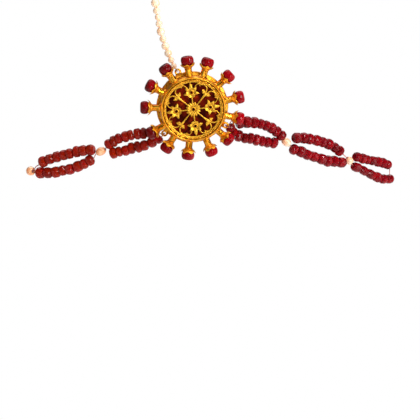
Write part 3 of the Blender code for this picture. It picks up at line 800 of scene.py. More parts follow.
@dataclass(frozen=True)
class PearlFinish:
    """Cultured freshwater pearl, its nacre grown and then tumbled smooth.

    To the eye: a soft peach body that light enters, paler in broad clouds, under a blurred
    highlight with a second, sharper one from the nacre's outermost layers.
    """

    name: str
    body: str = "#f2b98a"
    light: str = "#fff0de"
    # Nacre thickens unevenly over about half of a pearl.
    cloud_mm: float = 2.4
    # Growth ripples are some 0.01 mm high; their real spacing of 0.1 mm is too fine to show,
    # so they are drawn coarser.
    ripple_mm: float = 1.4

    def make(self) -> bpy.types.Material:
        """Give the material.

        Returns:
            Clouded nacre under a clear outer layer.
        """
        recipe = Recipe(self.name)
        spot = recipe.add("ShaderNodeTexCoord", {}, "Object")
        layers = recipe.add("ShaderNodeTexNoise", {
            "Vector": spot, "Scale": 1000 / self.cloud_mm, "Detail": 1.0, "Roughness": FALLOFF})
        cloud = recipe.add("ShaderNodeMapRange", {
            "Value": layers, "From Min": 0.35, "From Max": 0.65, "To Max": 0.7})
        colour = recipe.add("ShaderNodeMix", {0: cloud, 6: self.body, 7: self.light}, 2,
                            data_type="RGBA")
        ripples = recipe.add("ShaderNodeTexNoise", {
            "Vector": spot, "Scale": 1000 / self.ripple_mm, "Detail": 0.0,
            "Roughness": FALLOFF})
        relief = recipe.add("ShaderNodeBump", {
            "Height": ripples, "Distance": 0.00001, "Strength": 1.0})
        return recipe.finish(Base_Color=colour, Roughness=0.28, IOR=1.53,
                             Specular_IOR_Level=0.56, Coat_Weight=0.5, Coat_Roughness=0.12,
                             Sheen_Weight=0.2, Sheen_Roughness=0.4, Subsurface_Weight=0.2,
                             Subsurface_Radius=(0.0015, 0.001, 0.0007),
                             Subsurface_Scale=1.0, Normal=relief)


@dataclass(frozen=True)
class ThreadFinish:
    """Dyed silk thread, twisted from two plies.

    To the eye: matt, with slanting stripes of light and shade from the twist.
    """

    name: str
    dark: str = "#9c4540"
    light: str = "#c8827a"
    # Silk of this thickness turns once in 0.35 mm, and each turn is one band of the wave.
    twist_mm: float = 0.35

    def make(self) -> bpy.types.Material:
        """Give the material.

        Returns:
            Striped silk.
        """
        recipe = Recipe(self.name)
        spot = recipe.add("ShaderNodeTexCoord", {}, "Object")
        twist = recipe.add("ShaderNodeTexWave", {
            "Vector": spot, "Scale": 1000 / (2 * math.pi * self.twist_mm),
            "Distortion": 1.5}, 1, bands_direction="DIAGONAL")
        colour = recipe.add("ShaderNodeMix", {0: twist, 6: self.dark, 7: self.light}, 2,
                            data_type="RGBA")
        relief = recipe.add("ShaderNodeBump", {
            "Height": twist, "Distance": 0.00005, "Strength": 1.0})
        return recipe.finish(Base_Color=colour, Roughness=0.7, Specular_IOR_Level=0.1,
                             Normal=relief)


def dress(piece: bpy.types.Object, material: Optional[bpy.types.Material],
          nodes: Sequence[str]) -> None:
    """Give a piece its finish, hang it under the body and hide the solids that it stands for.

    Args:
        piece: the finished piece, its place in its mesh.
        material: its finish, or None where its parts already have theirs.
        nodes: the solids that it replaces.
    """
    if material is not None:
        piece.data.materials.clear()
        piece.data.materials.append(material)
    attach(piece, "root")
    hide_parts(*nodes)
    LOG.info("%s: %d faces, stands for %s", piece.name, len(piece.data.polygons),
             ", ".join(nodes))


@dataclass
class Case:
    """Back plate with its flange, wall, bezel and the milled wire round the glass."""

    plate_radius: float = 0.0144
    plate_hole: float = 0.002
    plate_thickness: float = 0.0012
    plate_sides: int = 160
    # The hammer's blows on the plate
    blow_width: float = 0.0016
    blow_depth: float = 0.0003
    # Recess and bezel are turned with these sides, and stay sharp past this angle.
    sides: int = 144
    crease_deg: float = 50.0
    wall_radius: float = 0.0130
    wall_foot: float = 0.0010
    floor_height: float = 0.0015
    rim_height: float = 0.0063
    recess_radius: float = 0.0115
    recess_hole: float = 0.001
    groove_height: float = 0.0053
    bezel_inner: float = 0.01215
    milled_height: float = 0.0061
    milled_radius: float = 0.00032
    milled_teeth: int = 112
    # Share of the wire's half thickness that is rolled in, in a valley and on its flanks
    valley_depth: float = 0.75
    flank_depth: float = 0.2

    def plate(self) -> bpy.types.Object:
        """Turn the plate and give it the wavy surface of hammer work.

        Returns:
            The plate, its back at zero height.
        """
        thick = self.plate_thickness
        edge = self.plate_radius
        profile = [(self.plate_hole, 0.0), (edge - 0.0009, 0.0), (edge - 0.0003, 0.0001),
                   (edge, 0.0004), (edge, thick - 0.0006), (edge - 0.00015, thick - 0.0003),
                   (edge - 0.0005, thick - 0.00012), (edge - 0.0010, thick),
                   (self.wall_radius - 0.0006, thick)]
        piece = turned("back_plate", profile, self.plate_sides)
        roughen(piece, "hammered", self.blow_width, self.blow_depth)
        return piece

    def recess(self) -> bpy.types.Object:
        """Turn the recess that holds the glass and the groove round it; its darker gold is
        painted shade.

        Returns:
            The recess.
        """
        inner, outer = self.recess_radius, self.bezel_inner + 0.0002
        hole, foot = self.recess_hole, self.wall_foot
        profile = [(hole, self.floor_height), (inner - 0.0001, self.floor_height),
                   (inner, self.floor_height + 0.0001), (inner, self.groove_height),
                   (outer, self.groove_height), (outer, foot), (hole, foot)]
        return turned("recess", profile, self.sides, smooth_deg=self.crease_deg)

    def bezel(self) -> bpy.types.Object:
        """Turn the rounded bezel and the wall under it.

        Returns:
            The bezel.
        """
        wall, inner, foot, top = (self.wall_radius, self.bezel_inner, self.wall_foot,
                                  self.rim_height)
        profile = [(inner, foot), (inner, top - 0.0004), (inner + 0.00004, top - 0.00018),
                   (inner + 0.00014, top - 0.00005), (inner + 0.00028, top),
                   (wall - 0.00048, top - 0.00008), (wall - 0.00034, top - 0.0002),
                   (wall - 0.0002, top - 0.0004), (wall - 0.0001, top - 0.00065),
                   (wall - 0.00003, top - 0.00095), (wall, top - 0.0013), (wall, foot),
                   (inner, foot)]
        return turned("bezel", profile, self.sides, capped=False, smooth_deg=self.crease_deg)

    def milled_wire(self, name: str, radius: float, height: float, thick: float,
                    teeth: int) -> bpy.types.Object:
        """Roll a wire with even ridges and lay it round the glass.

        Args:
            name: name of the new piece.
            radius: radius of the wire's line.
            height: height of that line.
            thick: half of the wire's thickness.
            teeth: number of ridges.

        Returns:
            The wire.
        """
        deselect_all()
        sides = 4 * teeth
        bpy.ops.mesh.primitive_torus_add(major_segments=sides, minor_segments=6,
                                         major_radius=radius, minor_radius=thick)
        piece = settle(named(bpy.context.object, name), Matrix.Translation((0.0, 0.0, height)))
        edit()
        for parts, depth in (((2,), self.valley_depth), ((1, 3), self.flank_depth)):
            select_points(piece, lambda p: column(p, sides) % 4 in parts)
            bpy.ops.transform.shrink_fatten(value=-depth * thick)
        leave()
        shade_by(60.0)
        return piece

    def build(self, satin: bpy.types.Material, grainy: bpy.types.Material,
              groove_shade: bpy.types.Material) -> None:
        """Build the case and dress it.

        Args:
            satin: finish of the bezel and the milled wire.
            grainy: finish of the plate.
            groove_shade: finish of the recess and its groove, a darker gold that paints the
                shade.
        """
        turn = medallion_turn()
        wire = self.milled_wire("milled_wire", self.recess_radius + self.milled_radius / 2,
                                self.milled_height, self.milled_radius, self.milled_teeth)
        # The recess and its groove take the darker gold that paints the shade in the groove.
        for piece, finish in ((self.plate(), grainy), (self.recess(), groove_shade),
                              (self.bezel(), satin), (wire, satin)):
            dress(settle(piece, turn), finish, ["gold_frame"])


@dataclass
class Glass:
    """The disc of garnet glass under the foil."""

    radius: float = 0.0113
    bottom: float = 0.0018
    top: float = 0.00535
    bevel: float = 0.0002
    middle: float = 0.0008
    sides: int = 96

    def build(self, material: bpy.types.Material) -> None:
        """Grind the disc and dress it.

        Args:
            material: its finish.
        """
        profile = [(self.middle, self.bottom), (self.radius, self.bottom),
                   (self.radius, self.top - self.bevel), (self.radius - self.bevel, self.top),
                   (self.middle, self.top)]
        piece = turned("garnet_disc", profile, self.sides)
        dress(settle(piece, medallion_turn()), material, ["glass_disc"])


@dataclass
class Foil:
    """Openwork foil: border, rosette, four flowers, four buds and their scrolls."""

    bottom: float = 0.0053
    top: float = 0.0060
    # Height of the embossing above and below the foil's own face, how far a petal's flanks
    # follow its tip, and how far the valleys between petals are pressed in half-way
    relief: float = 0.00022
    flank_share: float = 0.45
    valley_pinch: float = 0.86
    border_inner: float = 0.01075
    border_outer: float = 0.0115
    border_sides: int = 120
    hatching_radius: float = 0.00017
    hatching_teeth: int = 140
    rosette_radius: float = 0.0031
    rosette_hole: float = 0.0006
    rosette_petals: int = 16
    flower_distance: float = 0.0068
    flower_radius: float = 0.003
    flower_hole: float = 0.00055
    crease_deg: float = 32.0
    bud_distance: float = 0.0076
    bud_leaf_length: float = 0.0026
    bud_leaf_width: float = 0.0016
    bud_leaf_lean: float = 68.0
    small_leaf_length: float = 0.0014
    small_leaf_width: float = 0.001
    small_leaf_lean: float = 62.0
    # A leaf's sides are drawn in by these factors, and its bevel is a share of its width.
    leaf_taper: tuple[float, float, float] = (0.85, 0.72, 1.0)
    leaf_bevel: float = 0.22
    leaf_relief: float = 0.0003
    # Stems, stalks and scrolls are wires, flattened and sunk a little into the foil.
    stem_width: float = 0.0005
    scroll_width: float = 0.00056
    wire_flatness: float = 0.7
    wire_sink: float = 0.0002
    # A stem starts under the rosette, and a stalk ends past the middle of its bud.
    stem_start: float = 0.75
    stalk_overrun_mm: float = 0.6
    cluster_angle: float = 22.0
    # Along a stalk: place of each point as a share, and share of the wire's radius
    stalk: tuple[tuple[float, float], ...] = ((0.0, 1.0), (0.3, 1.1), (0.55, 1.35),
                                              (0.78, 2.1), (0.92, 2.5), (1.0, 1.5))
    # Along a scroll and a curl: distance in millimetres and angle in degrees
    scroll: tuple[tuple[float, float], ...] = ((9.0, 3.0), (10.0, 6.0), (10.6, 11.0),
                                               (10.75, 17.0))
    curl: tuple[tuple[float, float], ...] = ((10.7, 18.0), (10.1, 14.5), (9.4, 11.8),
                                             (8.6, 10.2))

    def border(self) -> bpy.types.Object:
        """Turn the flat border with a rounded inner edge.

        Returns:
            The border.
        """
        inner, outer = self.border_inner, self.border_outer
        profile = [(inner, self.bottom), (inner, self.top - 0.0002),
                   (inner + 0.0001, self.top - 0.00003), (inner + 0.0002, self.top),
                   (outer, self.top), (outer, self.bottom), (inner, self.bottom)]
        return turned("foil_border", profile, self.border_sides, capped=False)

    def blossom(self, name: str, hole: float, valley: float,
                tips: Sequence[float]) -> bpy.types.Object:
        """Emboss a flower: a collar round its hole, and ridged, pointed petals.

        Args:
            name: name of the new piece.
            hole: radius of the hole.
            valley: radius of the valleys between the petals.
            tips: radius of each petal's tip, the first one along +X.

        Returns:
            The flower, at the centre of the foil.
        """
        petals, tip = len(tips), sorted(tips)[len(tips) // 2]
        sides = 4 * petals
        collar = hole + 0.00018
        dish = hole + 0.00055
        body = (dish + tip) / 2
        top, relief = self.top, self.relief
        profile = [(hole, self.bottom), (hole, top), (collar, top + relief),
                   (collar + 0.00014, top + 0.00020), (dish, top - 0.0001),
                   (body, top + 0.00012), (tip, top - relief), (tip, self.bottom),
                   (hole, self.bottom)]
        piece = turned(name, profile, sides, capped=False, smooth_deg=self.crease_deg)
        edit()

        def part(place: Vector) -> int:
            """Part of a petal that a vertex is in: 0 on its ridge, 2 in a valley."""
            return column(place, sides) % 4

        edge = 0.97 * tip
        select_points(piece, lambda p: part(p) == 2 and from_axis(p) > edge)
        widen(valley / tip)
        for number, end in enumerate(tips):
            flank = valley + self.flank_share * (end - valley)
            for parts, radius in (((0,), end), ((1, 3), flank)):
                select_points(piece, lambda p: part(p) in parts and from_axis(p) > edge
                              and column(p, petals) == number)
                widen(radius / tip)
        # The valleys are pressed in half-way along the petals too.
        select_points(piece, lambda p: part(p) == 2 and p.z > top
                      and 0.98 * body < from_axis(p) < 1.02 * body)
        widen(self.valley_pinch)
        lift(-relief)
        close_shape()
        shade_by(self.crease_deg)
        return piece

    def leaf(self, name: str, length: float, width: float) -> bpy.types.Object:
        """Emboss a pointed leaf that starts at the centre and points along +X.

        Args:
            name: name of the new piece.
            length: from the centre to its tip.
            width: its widest.

        Returns:
            The leaf.
        """
        deselect_all()
        bpy.ops.mesh.primitive_circle_add(vertices=8, radius=length / 2, fill_type="NGON")
        piece = named(bpy.context.object, name)
        edit()
        resize_about(ORIGIN, (1.0, width / length, 1.0))
        # Its sides are drawn in to points at both ends.
        select_points(piece, lambda p: abs(p.x) > 0.25 * length and abs(p.y) > MERGE)
        resize_about(ORIGIN, self.leaf_taper)
        bpy.ops.mesh.select_all(action="SELECT")
        bpy.ops.transform.translate(value=(length / 2, 0.0, self.bottom))
        rise = {"value": (0.0, 0.0, self.top - self.bottom - self.wire_sink)}
        bpy.ops.mesh.extrude_region_move(TRANSFORM_OT_translate=rise)
        bpy.ops.mesh.inset(thickness=self.leaf_bevel * width, depth=self.leaf_relief)
        close_shape()
        shade_by(self.crease_deg)
        return piece

    def tendril(self, name: str, axis: float, turn: float, line: Sequence[tuple[float, float]],
                radius: float, shares: Optional[Sequence[float]] = None) -> bpy.types.Object:
        """Draw one flattened wire through points given round an axis.

        Args:
            name: name of the new piece.
            axis: direction that the angles are counted from, in degrees.
            turn: 1 or -1, the way in which they are counted.
            line: distance in millimetres and angle in degrees of each point.
            radius: half of the wire's width.
            shares: share of the radius at each point, if it changes.

        Returns:
            The wire.
        """
        height = self.top - self.wire_sink
        points = [polar(distance / 1000, axis + turn * angle, height)
                  for distance, angle in line]
        if shares is None:
            points = smooth_line(points, 4)
        wire = drawn_wire(name, points, radius, shares=shares)
        take(wire)
        edit()
        resize_about((0.0, 0.0, height), (1.0, 1.0, self.wire_flatness))
        leave()
        return wire

    def tendrils(self) -> list[bpy.types.Object]:
        """Draw the stems, the flaring stalks and the scrolls.

        Returns:
            The pieces of wire.
        """
        pieces = []
        start = 1000 * self.stem_start * self.rosette_radius
        stem_end = 1000 * (self.flower_distance - self.flower_radius / 2)
        bud = 1000 * self.bud_distance
        stalk_length = bud + self.stalk_overrun_mm - start
        for quarter in range(4):
            axis = 90.0 * quarter
            corner = axis + 45.0
            pieces.append(self.tendril("stem", axis, 1.0, [(start, 0.0), (stem_end, 0.0)],
                                       self.stem_width / 2, (1.0, 1.0)))
            stalk = [(start + share * stalk_length, 0.0) for share, _ in self.stalk]
            pieces.append(self.tendril("stalk", corner, 1.0, stalk, self.stem_width / 2,
                                       [thick for _, thick in self.stalk]))
            scroll = [(bud, 2.0), *self.scroll, (10.7, 45.0 - self.cluster_angle)]
            for turn in (-1.0, 1.0):
                pieces.append(self.tendril("scroll", corner, turn, scroll,
                                           self.scroll_width / 2))
                pieces.append(self.tendril("curl", axis, turn, self.curl,
                                           0.4 * self.scroll_width))
        return pieces

    def leaves(self) -> list[bpy.types.Object]:
        """Lay the buds' and the clusters' leaves.

        Returns:
            The leaves.
        """
        pieces = []
        bud_leaf = self.leaf("bud_leaf", self.bud_leaf_length, self.bud_leaf_width)
        small_leaf = self.leaf("small_leaf", self.small_leaf_length, self.small_leaf_width)
        for quarter in range(4):
            corner = 90.0 * quarter + 45.0
            for lean in (-self.bud_leaf_lean, self.bud_leaf_lean):
                place = (swivel(corner + lean, polar(self.bud_distance, corner))
                         @ Matrix.Translation((-0.0003, 0.0, 0.0)))
                pieces.append(settle(copy_of(bud_leaf, "leaf"), place))
            for side in (-1, 1):
                touch = 90.0 * quarter + side * self.cluster_angle
                for lean in (-self.small_leaf_lean, 0.0, self.small_leaf_lean):
                    place = swivel(touch + 180.0 + lean,
                                   polar(self.border_inner + 0.0001, touch))
                    pieces.append(settle(copy_of(small_leaf, "leaf"), place))
        discard(bud_leaf)
        discard(small_leaf)
        return pieces

    def build(self, material: bpy.types.Material, case: Case) -> None:
        """Build the foil and dress it.

        Args:
            material: its finish.
            case: the case, whose milled wire the border's hatching repeats.
        """
        hatching = case.milled_wire("hatching", self.border_inner + 0.0004, self.top,
                                    self.hatching_radius, self.hatching_teeth)
        rosette = self.blossom("rosette", self.rosette_hole, 0.8 * self.rosette_radius,
                               [self.rosette_radius] * self.rosette_petals)
        side, back = self.flower_radius, 0.72 * self.flower_radius
        outward = self.border_inner - self.flower_distance + 0.0002
        flower = self.blossom("flower", self.flower_hole, 0.6 * self.flower_radius,
                              [outward, side, 1.08 * side, back, back, 1.08 * side, side])
        pieces = [self.border(), hatching, rosette]
        outwards = Matrix.Translation((self.flower_distance, 0.0, 0.0))
        for quarter in range(4):
            pieces.append(settle(copy_of(flower, "flower_copy"),
                                 swivel(90.0 * quarter) @ outwards))
        discard(flower)
        pieces += self.tendrils() + self.leaves()
        whole = join(pieces, "openwork_foil")
        dress(settle(whole, medallion_turn()), material, ["foil_openwork"])


@dataclass
class Setting:
    """One tube with its petalled cup and the ruby in it, along +Z from the centre."""

    wall: float = 0.0130
    tube_radius: float = 0.0015
    tube_length: float = 0.0032
    tube_sides: int = 16
    tube_crease_deg: float = 30.0
    # Share of the radius that is left in a flute
    flute: float = 0.8
    cup_floor: float = 0.0009
    cup_reach: float = 0.0009
    cup_sides: int = 24
    cup_crease_deg: float = 45.0
    # The lip's points lie within this band; petals rise and flare, and notches drop.
    lip_band: float = 0.0001
    petal_rise: float = 0.00045
    petal_flare: float = 1.13
    notch_drop: float = 0.00062
    notch_pinch: float = 0.93
    flank_drop: float = 0.0001
    petal_bend: float = 0.00016
    sheet: float = 0.00022
    stone_radius: float = 0.0026
    stone_sides: int = 12
    stone_bevel: float = 0.00014
    facet_deg: float = 12.0

    def tube(self) -> bpy.types.Object:
        """Turn the fluted tube with a collar at its root.

        Returns:
            The tube, along +Z.
        """
        start, radius = self.wall, self.tube_radius
        end = start + self.tube_length
        profile = [(0.8 * radius, start - 0.0006), (1.05 * radius, start - 0.0003),
                   (1.12 * radius, start + 0.0001), (1.05 * radius, start + 0.0003),
                   (0.95 * radius, start + 0.0005), (0.92 * radius, end - 0.0004),
                   (1.0 * radius, end - 0.0001), (0.9 * radius, end + 0.0002)]
        piece = turned("tube", profile, self.tube_sides, smooth_deg=self.tube_crease_deg)
        edit()
        low, high = start + 0.0004, end - 0.0003
        # Every other column is pressed in, between the collars.
        select_points(piece, lambda p: low < p.z < high
                      and column(p, self.tube_sides) % 2 == 1)
        widen(self.flute)
        leave()
        shade_by(self.tube_crease_deg)
        return piece

    def cup(self) -> bpy.types.Object:
        """Shape the flared cup: a thin shell whose lip ends in six pointed petals.

        Returns:
            The cup, a bare sheet as yet.
        """
        neck = self.wall + self.tube_length
        foot = neck + self.cup_floor
        lip = foot + self.cup_reach
        profile = [(0.0005, neck + 0.0001), (0.00125, neck + 0.0001), (0.00155, neck + 0.0002),
                   (0.0014, neck + 0.00035), (0.0017, neck + 0.0006), (0.0022, foot - 0.00005),
                   (0.00255, foot + 0.0003), (0.00275, lip - 0.0001)]
        piece = turned("cup", profile, self.cup_sides, smooth_deg=self.cup_crease_deg)
        edit()
        bpy.ops.mesh.select_mode(type="FACE")
        bpy.ops.mesh.select_all(action="DESELECT")
        leave()
        for face in piece.data.polygons:
            face.select = len(face.vertices) > 4
        bpy.ops.object.mode_set(mode="EDIT")
        bpy.ops.mesh.delete(type="ONLY_FACE")
        near_lip = lip - self.lip_band
        # Column 0 is the middle of a petal, column 2 a notch, and the others its flanks.
        for parts, rise, factor in (((0,), self.petal_rise, self.petal_flare),
                                    ((2,), -self.notch_drop, self.notch_pinch),
                                    ((1, 3), -self.flank_drop, 1.0)):
            select_points(piece, lambda p: p.z > near_lip
                          and column(p, self.cup_sides) % 4 in parts)
            lift(rise)
            widen(factor)
        leave()
        return piece

    def finish_cup(self, piece: bpy.types.Object, number: int) -> bpy.types.Object:
        """Bend a copy's petals a little by hand and give it its thickness.

        Args:
            piece: a copy of the cup.
            number: the setting's number, which seeds the bends.

        Returns:
            The finished cup.
        """
        take(piece)
        edit()
        foot = self.wall + self.tube_length + self.cup_floor
        select_points(piece, lambda p: p.z > foot + 0.0003)
        bpy.ops.transform.vertex_random(offset=self.petal_bend, uniform=0.4, normal=0.2,
                                        seed=number)
        leave()
        apply_modifier(piece, "SOLIDIFY", thickness=self.sheet, offset=1.0)
        apply_modifier(piece, "SUBSURF", levels=1, render_levels=1)
        bpy.ops.object.shade_smooth()
        return piece

    def stone(self) -> bpy.types.Object:
        """Cut the drum of ruby with softly rounded facets.

        Returns:
            The stone.
        """
        foot = self.wall + self.tube_length + self.cup_floor
        girdle = self.stone_radius
        profile = [(0.0007, foot), (0.0013, foot), (0.84 * girdle, foot + 0.0006),
                   (0.99 * girdle, foot + 0.0013), (1.02 * girdle, foot + 0.0022),
                   (0.97 * girdle, foot + 0.0030), (0.83 * girdle, foot + 0.0036),
                   (0.6 * girdle, foot + 0.00385), (0.0004, foot + 0.0039)]
        piece = turned("stone", profile, self.stone_sides, smooth_deg=self.facet_deg)
        apply_modifier(piece, "BEVEL", width=self.stone_bevel, segments=2,
                       limit_method="ANGLE", angle_limit=math.radians(self.facet_deg))
        shade_by(2 * self.facet_deg)
        return piece

    def build(self, polished: bpy.types.Material, grainy: bpy.types.Material,
              ruby: bpy.types.Material) -> None:
        """Build the thirteen settings and dress them.

        Args:
            polished: finish of the tubes.
            grainy: finish of the cups.
            ruby: finish of the stones.
        """
        tube, cup, stone = self.tube(), self.cup(), self.stone()
        turn = medallion_turn()
        chance = random.Random(13)
        for number in range(1, SETTING_COUNT + 1):
            angle = setting_angle(number) + SETTING_LEANS[number - 1]
            place = (turn @ swivel(angle, (0.0, 0.0, SETTING_HEIGHT))
                     @ Matrix.Rotation(math.pi / 2, 4, "Y"))
            spun = place @ Matrix.Rotation(chance.uniform(0.0, math.pi), 4, "Z")
            petals = self.finish_cup(copy_of(cup, "petals_%02d" % number), number)
            barrel = copy_of(tube, "barrel_%02d" % number)
            petals.data.materials.append(grainy)
            barrel.data.materials.append(polished)
            mount = join([settle(barrel, place), settle(petals, spun)],
                         "setting_cup_%02d" % number)
            dress(mount, None, ["gold_frame"])
            gem = settle(copy_of(stone, "setting_ruby_%02d" % number), spun)
            dress(gem, ruby, ["setting_stone_%02d" % number])
        for pattern in (tube, cup, stone):
            discard(pattern)


@dataclass
class Rings:
    """The three rings soldered to the plate's edge, which the strings are looped through."""

    wire: float = 0.0008
    bore: float = 0.0011
    distance: float = 0.01535
    height: float = 0.0006
    # Solder thickens the wire past this distance, about a middle further on.
    solder_reach: float = 0.0006
    solder_middle: float = 0.0009
    solder_swell: tuple[float, float, float] = (1.0, 1.25, 1.15)

    def angle(self, side: Side) -> float:
        """Angle of a ring round the medallion."""
        number, lean = side.value
        return setting_angle(number) + lean

    def build(self, gold: bpy.types.Material) -> None:
        """Bend the rings from wire, solder them on and dress them.

        Args:
            gold: their finish.
        """
        turn = medallion_turn()
        for side in Side:
            deselect_all()
            bpy.ops.mesh.primitive_torus_add(
                major_radius=(self.bore + self.wire) / 2, minor_radius=self.wire / 2,
                major_segments=32, minor_segments=12)
            piece = named(bpy.context.object, side.label() + "_ring")
            edit()
            select_points(piece, lambda p: p.x < -self.solder_reach)
            resize_about((-self.solder_middle, 0.0, 0.0), self.solder_swell)
            leave()
            bpy.ops.object.shade_smooth()
            angle = self.angle(side)
            place = turn @ swivel(angle, polar(self.distance, angle, self.height))
            dress(settle(piece, place), gold, ["gold_frame"])


@dataclass
class JoiningPearl:
    """A bored pearl that gathers two strands."""

    name: str
    at: tuple[float, float, float]
    along: tuple[float, float, float]
    length: float
    diameter: float
    bore: float = 0.0011
    rings: int = 12
    sides: int = 24
    # A power below 1 makes the oval fuller; the bumps are those of freshwater pearls.
    # Fuller than a ball, and stretched to make up for the ends that the bore cuts off
    fullness: float = 0.85
    stretch: float = 1.04
    bump_width: float = 0.003
    bump_depth: float = 0.0002

    def centre(self) -> Vector:
        """Centre of the pearl."""
        return brow_point(*self.at)

    def axis(self) -> Vector:
        """Direction of its bore."""
        return Vector(self.along).normalized()

    def thread(self, lie: Lie) -> list[Vector]:
        """Points of a thread that leaves the pearl's middle through its bore.

        Args:
            lie: which way it runs through the bore.

        Returns:
            Its points, from the middle outwards.
        """
        half = self.length / 2
        axis = self.axis() * lie.value
        return [self.centre() + axis * (GAP / 2), self.centre() + axis * half,
                self.centre() + axis * (half + GAP)]

    def build(self, material: bpy.types.Material) -> None:
        """Turn the pearl, dent it a little and dress it.

        Args:
            material: its finish.
        """
        radius, half = self.diameter / 2, self.length / 2
        start = math.asin(self.bore / 2 / radius)
        profile = []
        for step in range(self.rings + 1):
            angle = start + (math.pi - 2 * start) * step / self.rings
            profile.append((radius * math.sin(angle) ** self.fullness,
                            self.stretch * half * math.cos(angle)))
        profile.append(profile[0])
        piece = turned(self.name + "_nacre", profile, self.sides, capped=False, smooth_deg=50)
        roughen(piece, "nacre", self.bump_width, self.bump_depth)
        settle(piece, Matrix.Translation(self.centre()) @ facing(self.axis()))
        dress(piece, material, [self.name])


@dataclass
class HairHook:
    """A wire hook with an eye, which holds the end of a string in the hair."""

    name: str
    at: tuple[float, float, float]
    along: tuple[float, float, float]
    across: tuple[float, float, float]
    looped: tuple[int, int, int]
    wire: float = 0.0010
    width: float = 0.0052
    stem: float = 0.0075
    tip: float = 0.0045
    eye: float = 0.0016
    # The eye is bent through this turn from its start, and eye and bend in these steps.
    eye_start_deg: float = 40.0
    eye_turn_deg: float = 290.0
    eye_steps: int = 20
    bend_steps: int = 16
    # The wire's end is bent out and filed, both as shares of the wire.
    tip_lift: float = 0.4
    tip_share: float = 0.55

    def axes(self) -> tuple[Vector, Vector, Vector]:
        """Centre of the eye, direction of the stem and direction across.

        Returns:
            A place and two directions at right angles.
        """
        along = Vector(self.along).normalized()
        across = Vector(self.across)
        return brow_point(*self.at), along, (across - along * across.dot(along)).normalized()

    def outline(self) -> list[Vector]:
        """Flat line of the wire: along the stem, and across towards the tip.

        Returns:
            The points, from the eye to the tip.
        """
        eye = (self.eye + self.wire) / 2
        bend = (self.width + self.wire) / 2
        points = [polar(eye, self.eye_start_deg + self.eye_turn_deg * step / self.eye_steps)
                  for step in range(self.eye_steps + 1)]
        points.append(Vector((eye + self.wire, 0.0, 0.0)))
        for step in range(self.bend_steps + 1):
            arc = polar(bend, -90.0 + 180.0 * step / self.bend_steps)
            points.append(arc + Vector((self.stem, bend, 0.0)))
        points.append(Vector((self.stem - self.tip, 2 * bend, 0.0)))
        points.append(Vector((self.stem - self.tip - self.wire,
                              2 * bend + self.tip_lift * self.wire, 0.0)))
        return points

    def loop(self) -> list[Vector]:
        """Points of the thread that loops the near side of the eye.

        Returns:
            The points of the loop.
        """
        start, end, steps = self.looped
        origin, along, across = self.axes()
        out = along.cross(across).normalized()
        near = origin - along * (self.eye + self.wire) / 2
        reach = self.wire / 2 + WIRE_GAP + THREAD_RADIUS
        points = []
        for step in range(steps + 1):
            angle = math.radians(start + (end - start) * step / steps)
            points.append(near + along * (reach * math.cos(angle))
                          + out * (reach * math.sin(angle)))
        return points

    def build(self, material: bpy.types.Material) -> None:
        """Bend the hook and dress it.

        Args:
            material: its finish.
        """
        origin, along, across = self.axes()
        points = [origin + along * p.x + across * p.y for p in self.outline()]
        shares = [1.0] * (len(points) - 1) + [self.tip_share]
        piece = drawn_wire(self.name + "_wire", points, self.wire / 2, 3, shares)
        dress(piece, material, [self.name])


@dataclass
class RubyBead:
    """A faceted rondelle, drilled along its short axis."""

    radius: float = 0.0022
    half: float = 0.0015
    hole: float = 0.0004
    sides: int = 9
    # Rings of half the profile, as shares of the radius and of half the thickness: the edge
    # of the flat end, which dips to the hole, then shoulder and girdle
    dip: float = 0.95
    table: tuple[float, float] = (0.68, 1.0)
    shoulder: tuple[float, float] = (0.93, 0.64)
    girdle: tuple[float, float] = (1.0, 0.22)

    def pattern(self) -> bpy.types.Object:
        """Cut one bead about Z, its facets staggered from ring to ring.

        Returns:
            The bead.
        """
        half = self.half
        upper = [(self.hole, self.dip * half)]
        upper += [(out * self.radius, up * half)
                  for out, up in (self.table, self.shoulder, self.girdle)]
        shoulder = self.shoulder[1] * half
        lower = [(radius, -height) for radius, height in reversed(upper)]
        piece = turned("rondelle", upper + lower, self.sides, smooth_deg=5)
        edit()
        select_points(piece, lambda p: abs(abs(p.z) - shoulder) < 1e-5)
        bpy.ops.transform.rotate(value=math.pi / self.sides, orient_axis="Z",
                                 center_override=ORIGIN)
        bpy.ops.mesh.select_all(action="SELECT")
        bpy.ops.mesh.quads_convert_to_tris(quad_method="SHORTEST_DIAGONAL")
        leave()
        shade_by(60.0)
        return piece


@dataclass
class Strand:
    """One row of ruby beads along its route."""

    name: str
    count: int
    largest: float = 1.12
    drift: float = 0.00018
    # How far the beads differ: in size, in thickness and in the way they face
    size_spread: float = 0.17
    span_spread: float = 0.16
    wobble: float = 0.13
    # Each bead is a little thicker than its share of the row, so that it meets the next.
    overlap: float = 1.05

    def beads(self, pattern: bpy.types.Object, bead: RubyBead,
              chance: random.Random) -> list[bpy.types.Object]:
        """Thread copies of the bead along the row.

        Args:
            pattern: the bead to copy.
            bead: its sizes.
            chance: source of the small differences between beads.

        Returns:
            The beads.
        """
        line = row_line(self.name)
        length = line_length(line)
        weights = [chance.uniform(1 - self.span_spread, 1 + self.span_spread)
                   for _ in range(self.count)]
        pieces, done = [], 0.0
        for weight in weights:
            span = length * weight / sum(weights)
            start, end = point_at(line, done), point_at(line, done + span)
            done += span
            along = (end - start).normalized()
            wobble = Vector([chance.uniform(-self.wobble, self.wobble) for _ in range(3)])
            drift = Vector([chance.uniform(-self.drift, self.drift) for _ in range(3)])
            size = chance.uniform(self.largest - self.size_spread, self.largest)
            thick = self.overlap * span / 2 / bead.half
            scale = Matrix.Diagonal((size, size, thick, 1.0))
            place = (Matrix.Translation((start + end) / 2 + drift) @ facing(along + wobble)
                     @ Matrix.Rotation(chance.uniform(0.0, math.pi), 4, "Z") @ scale)
            pieces.append(settle(copy_of(pattern, "bead"), place))
        return pieces


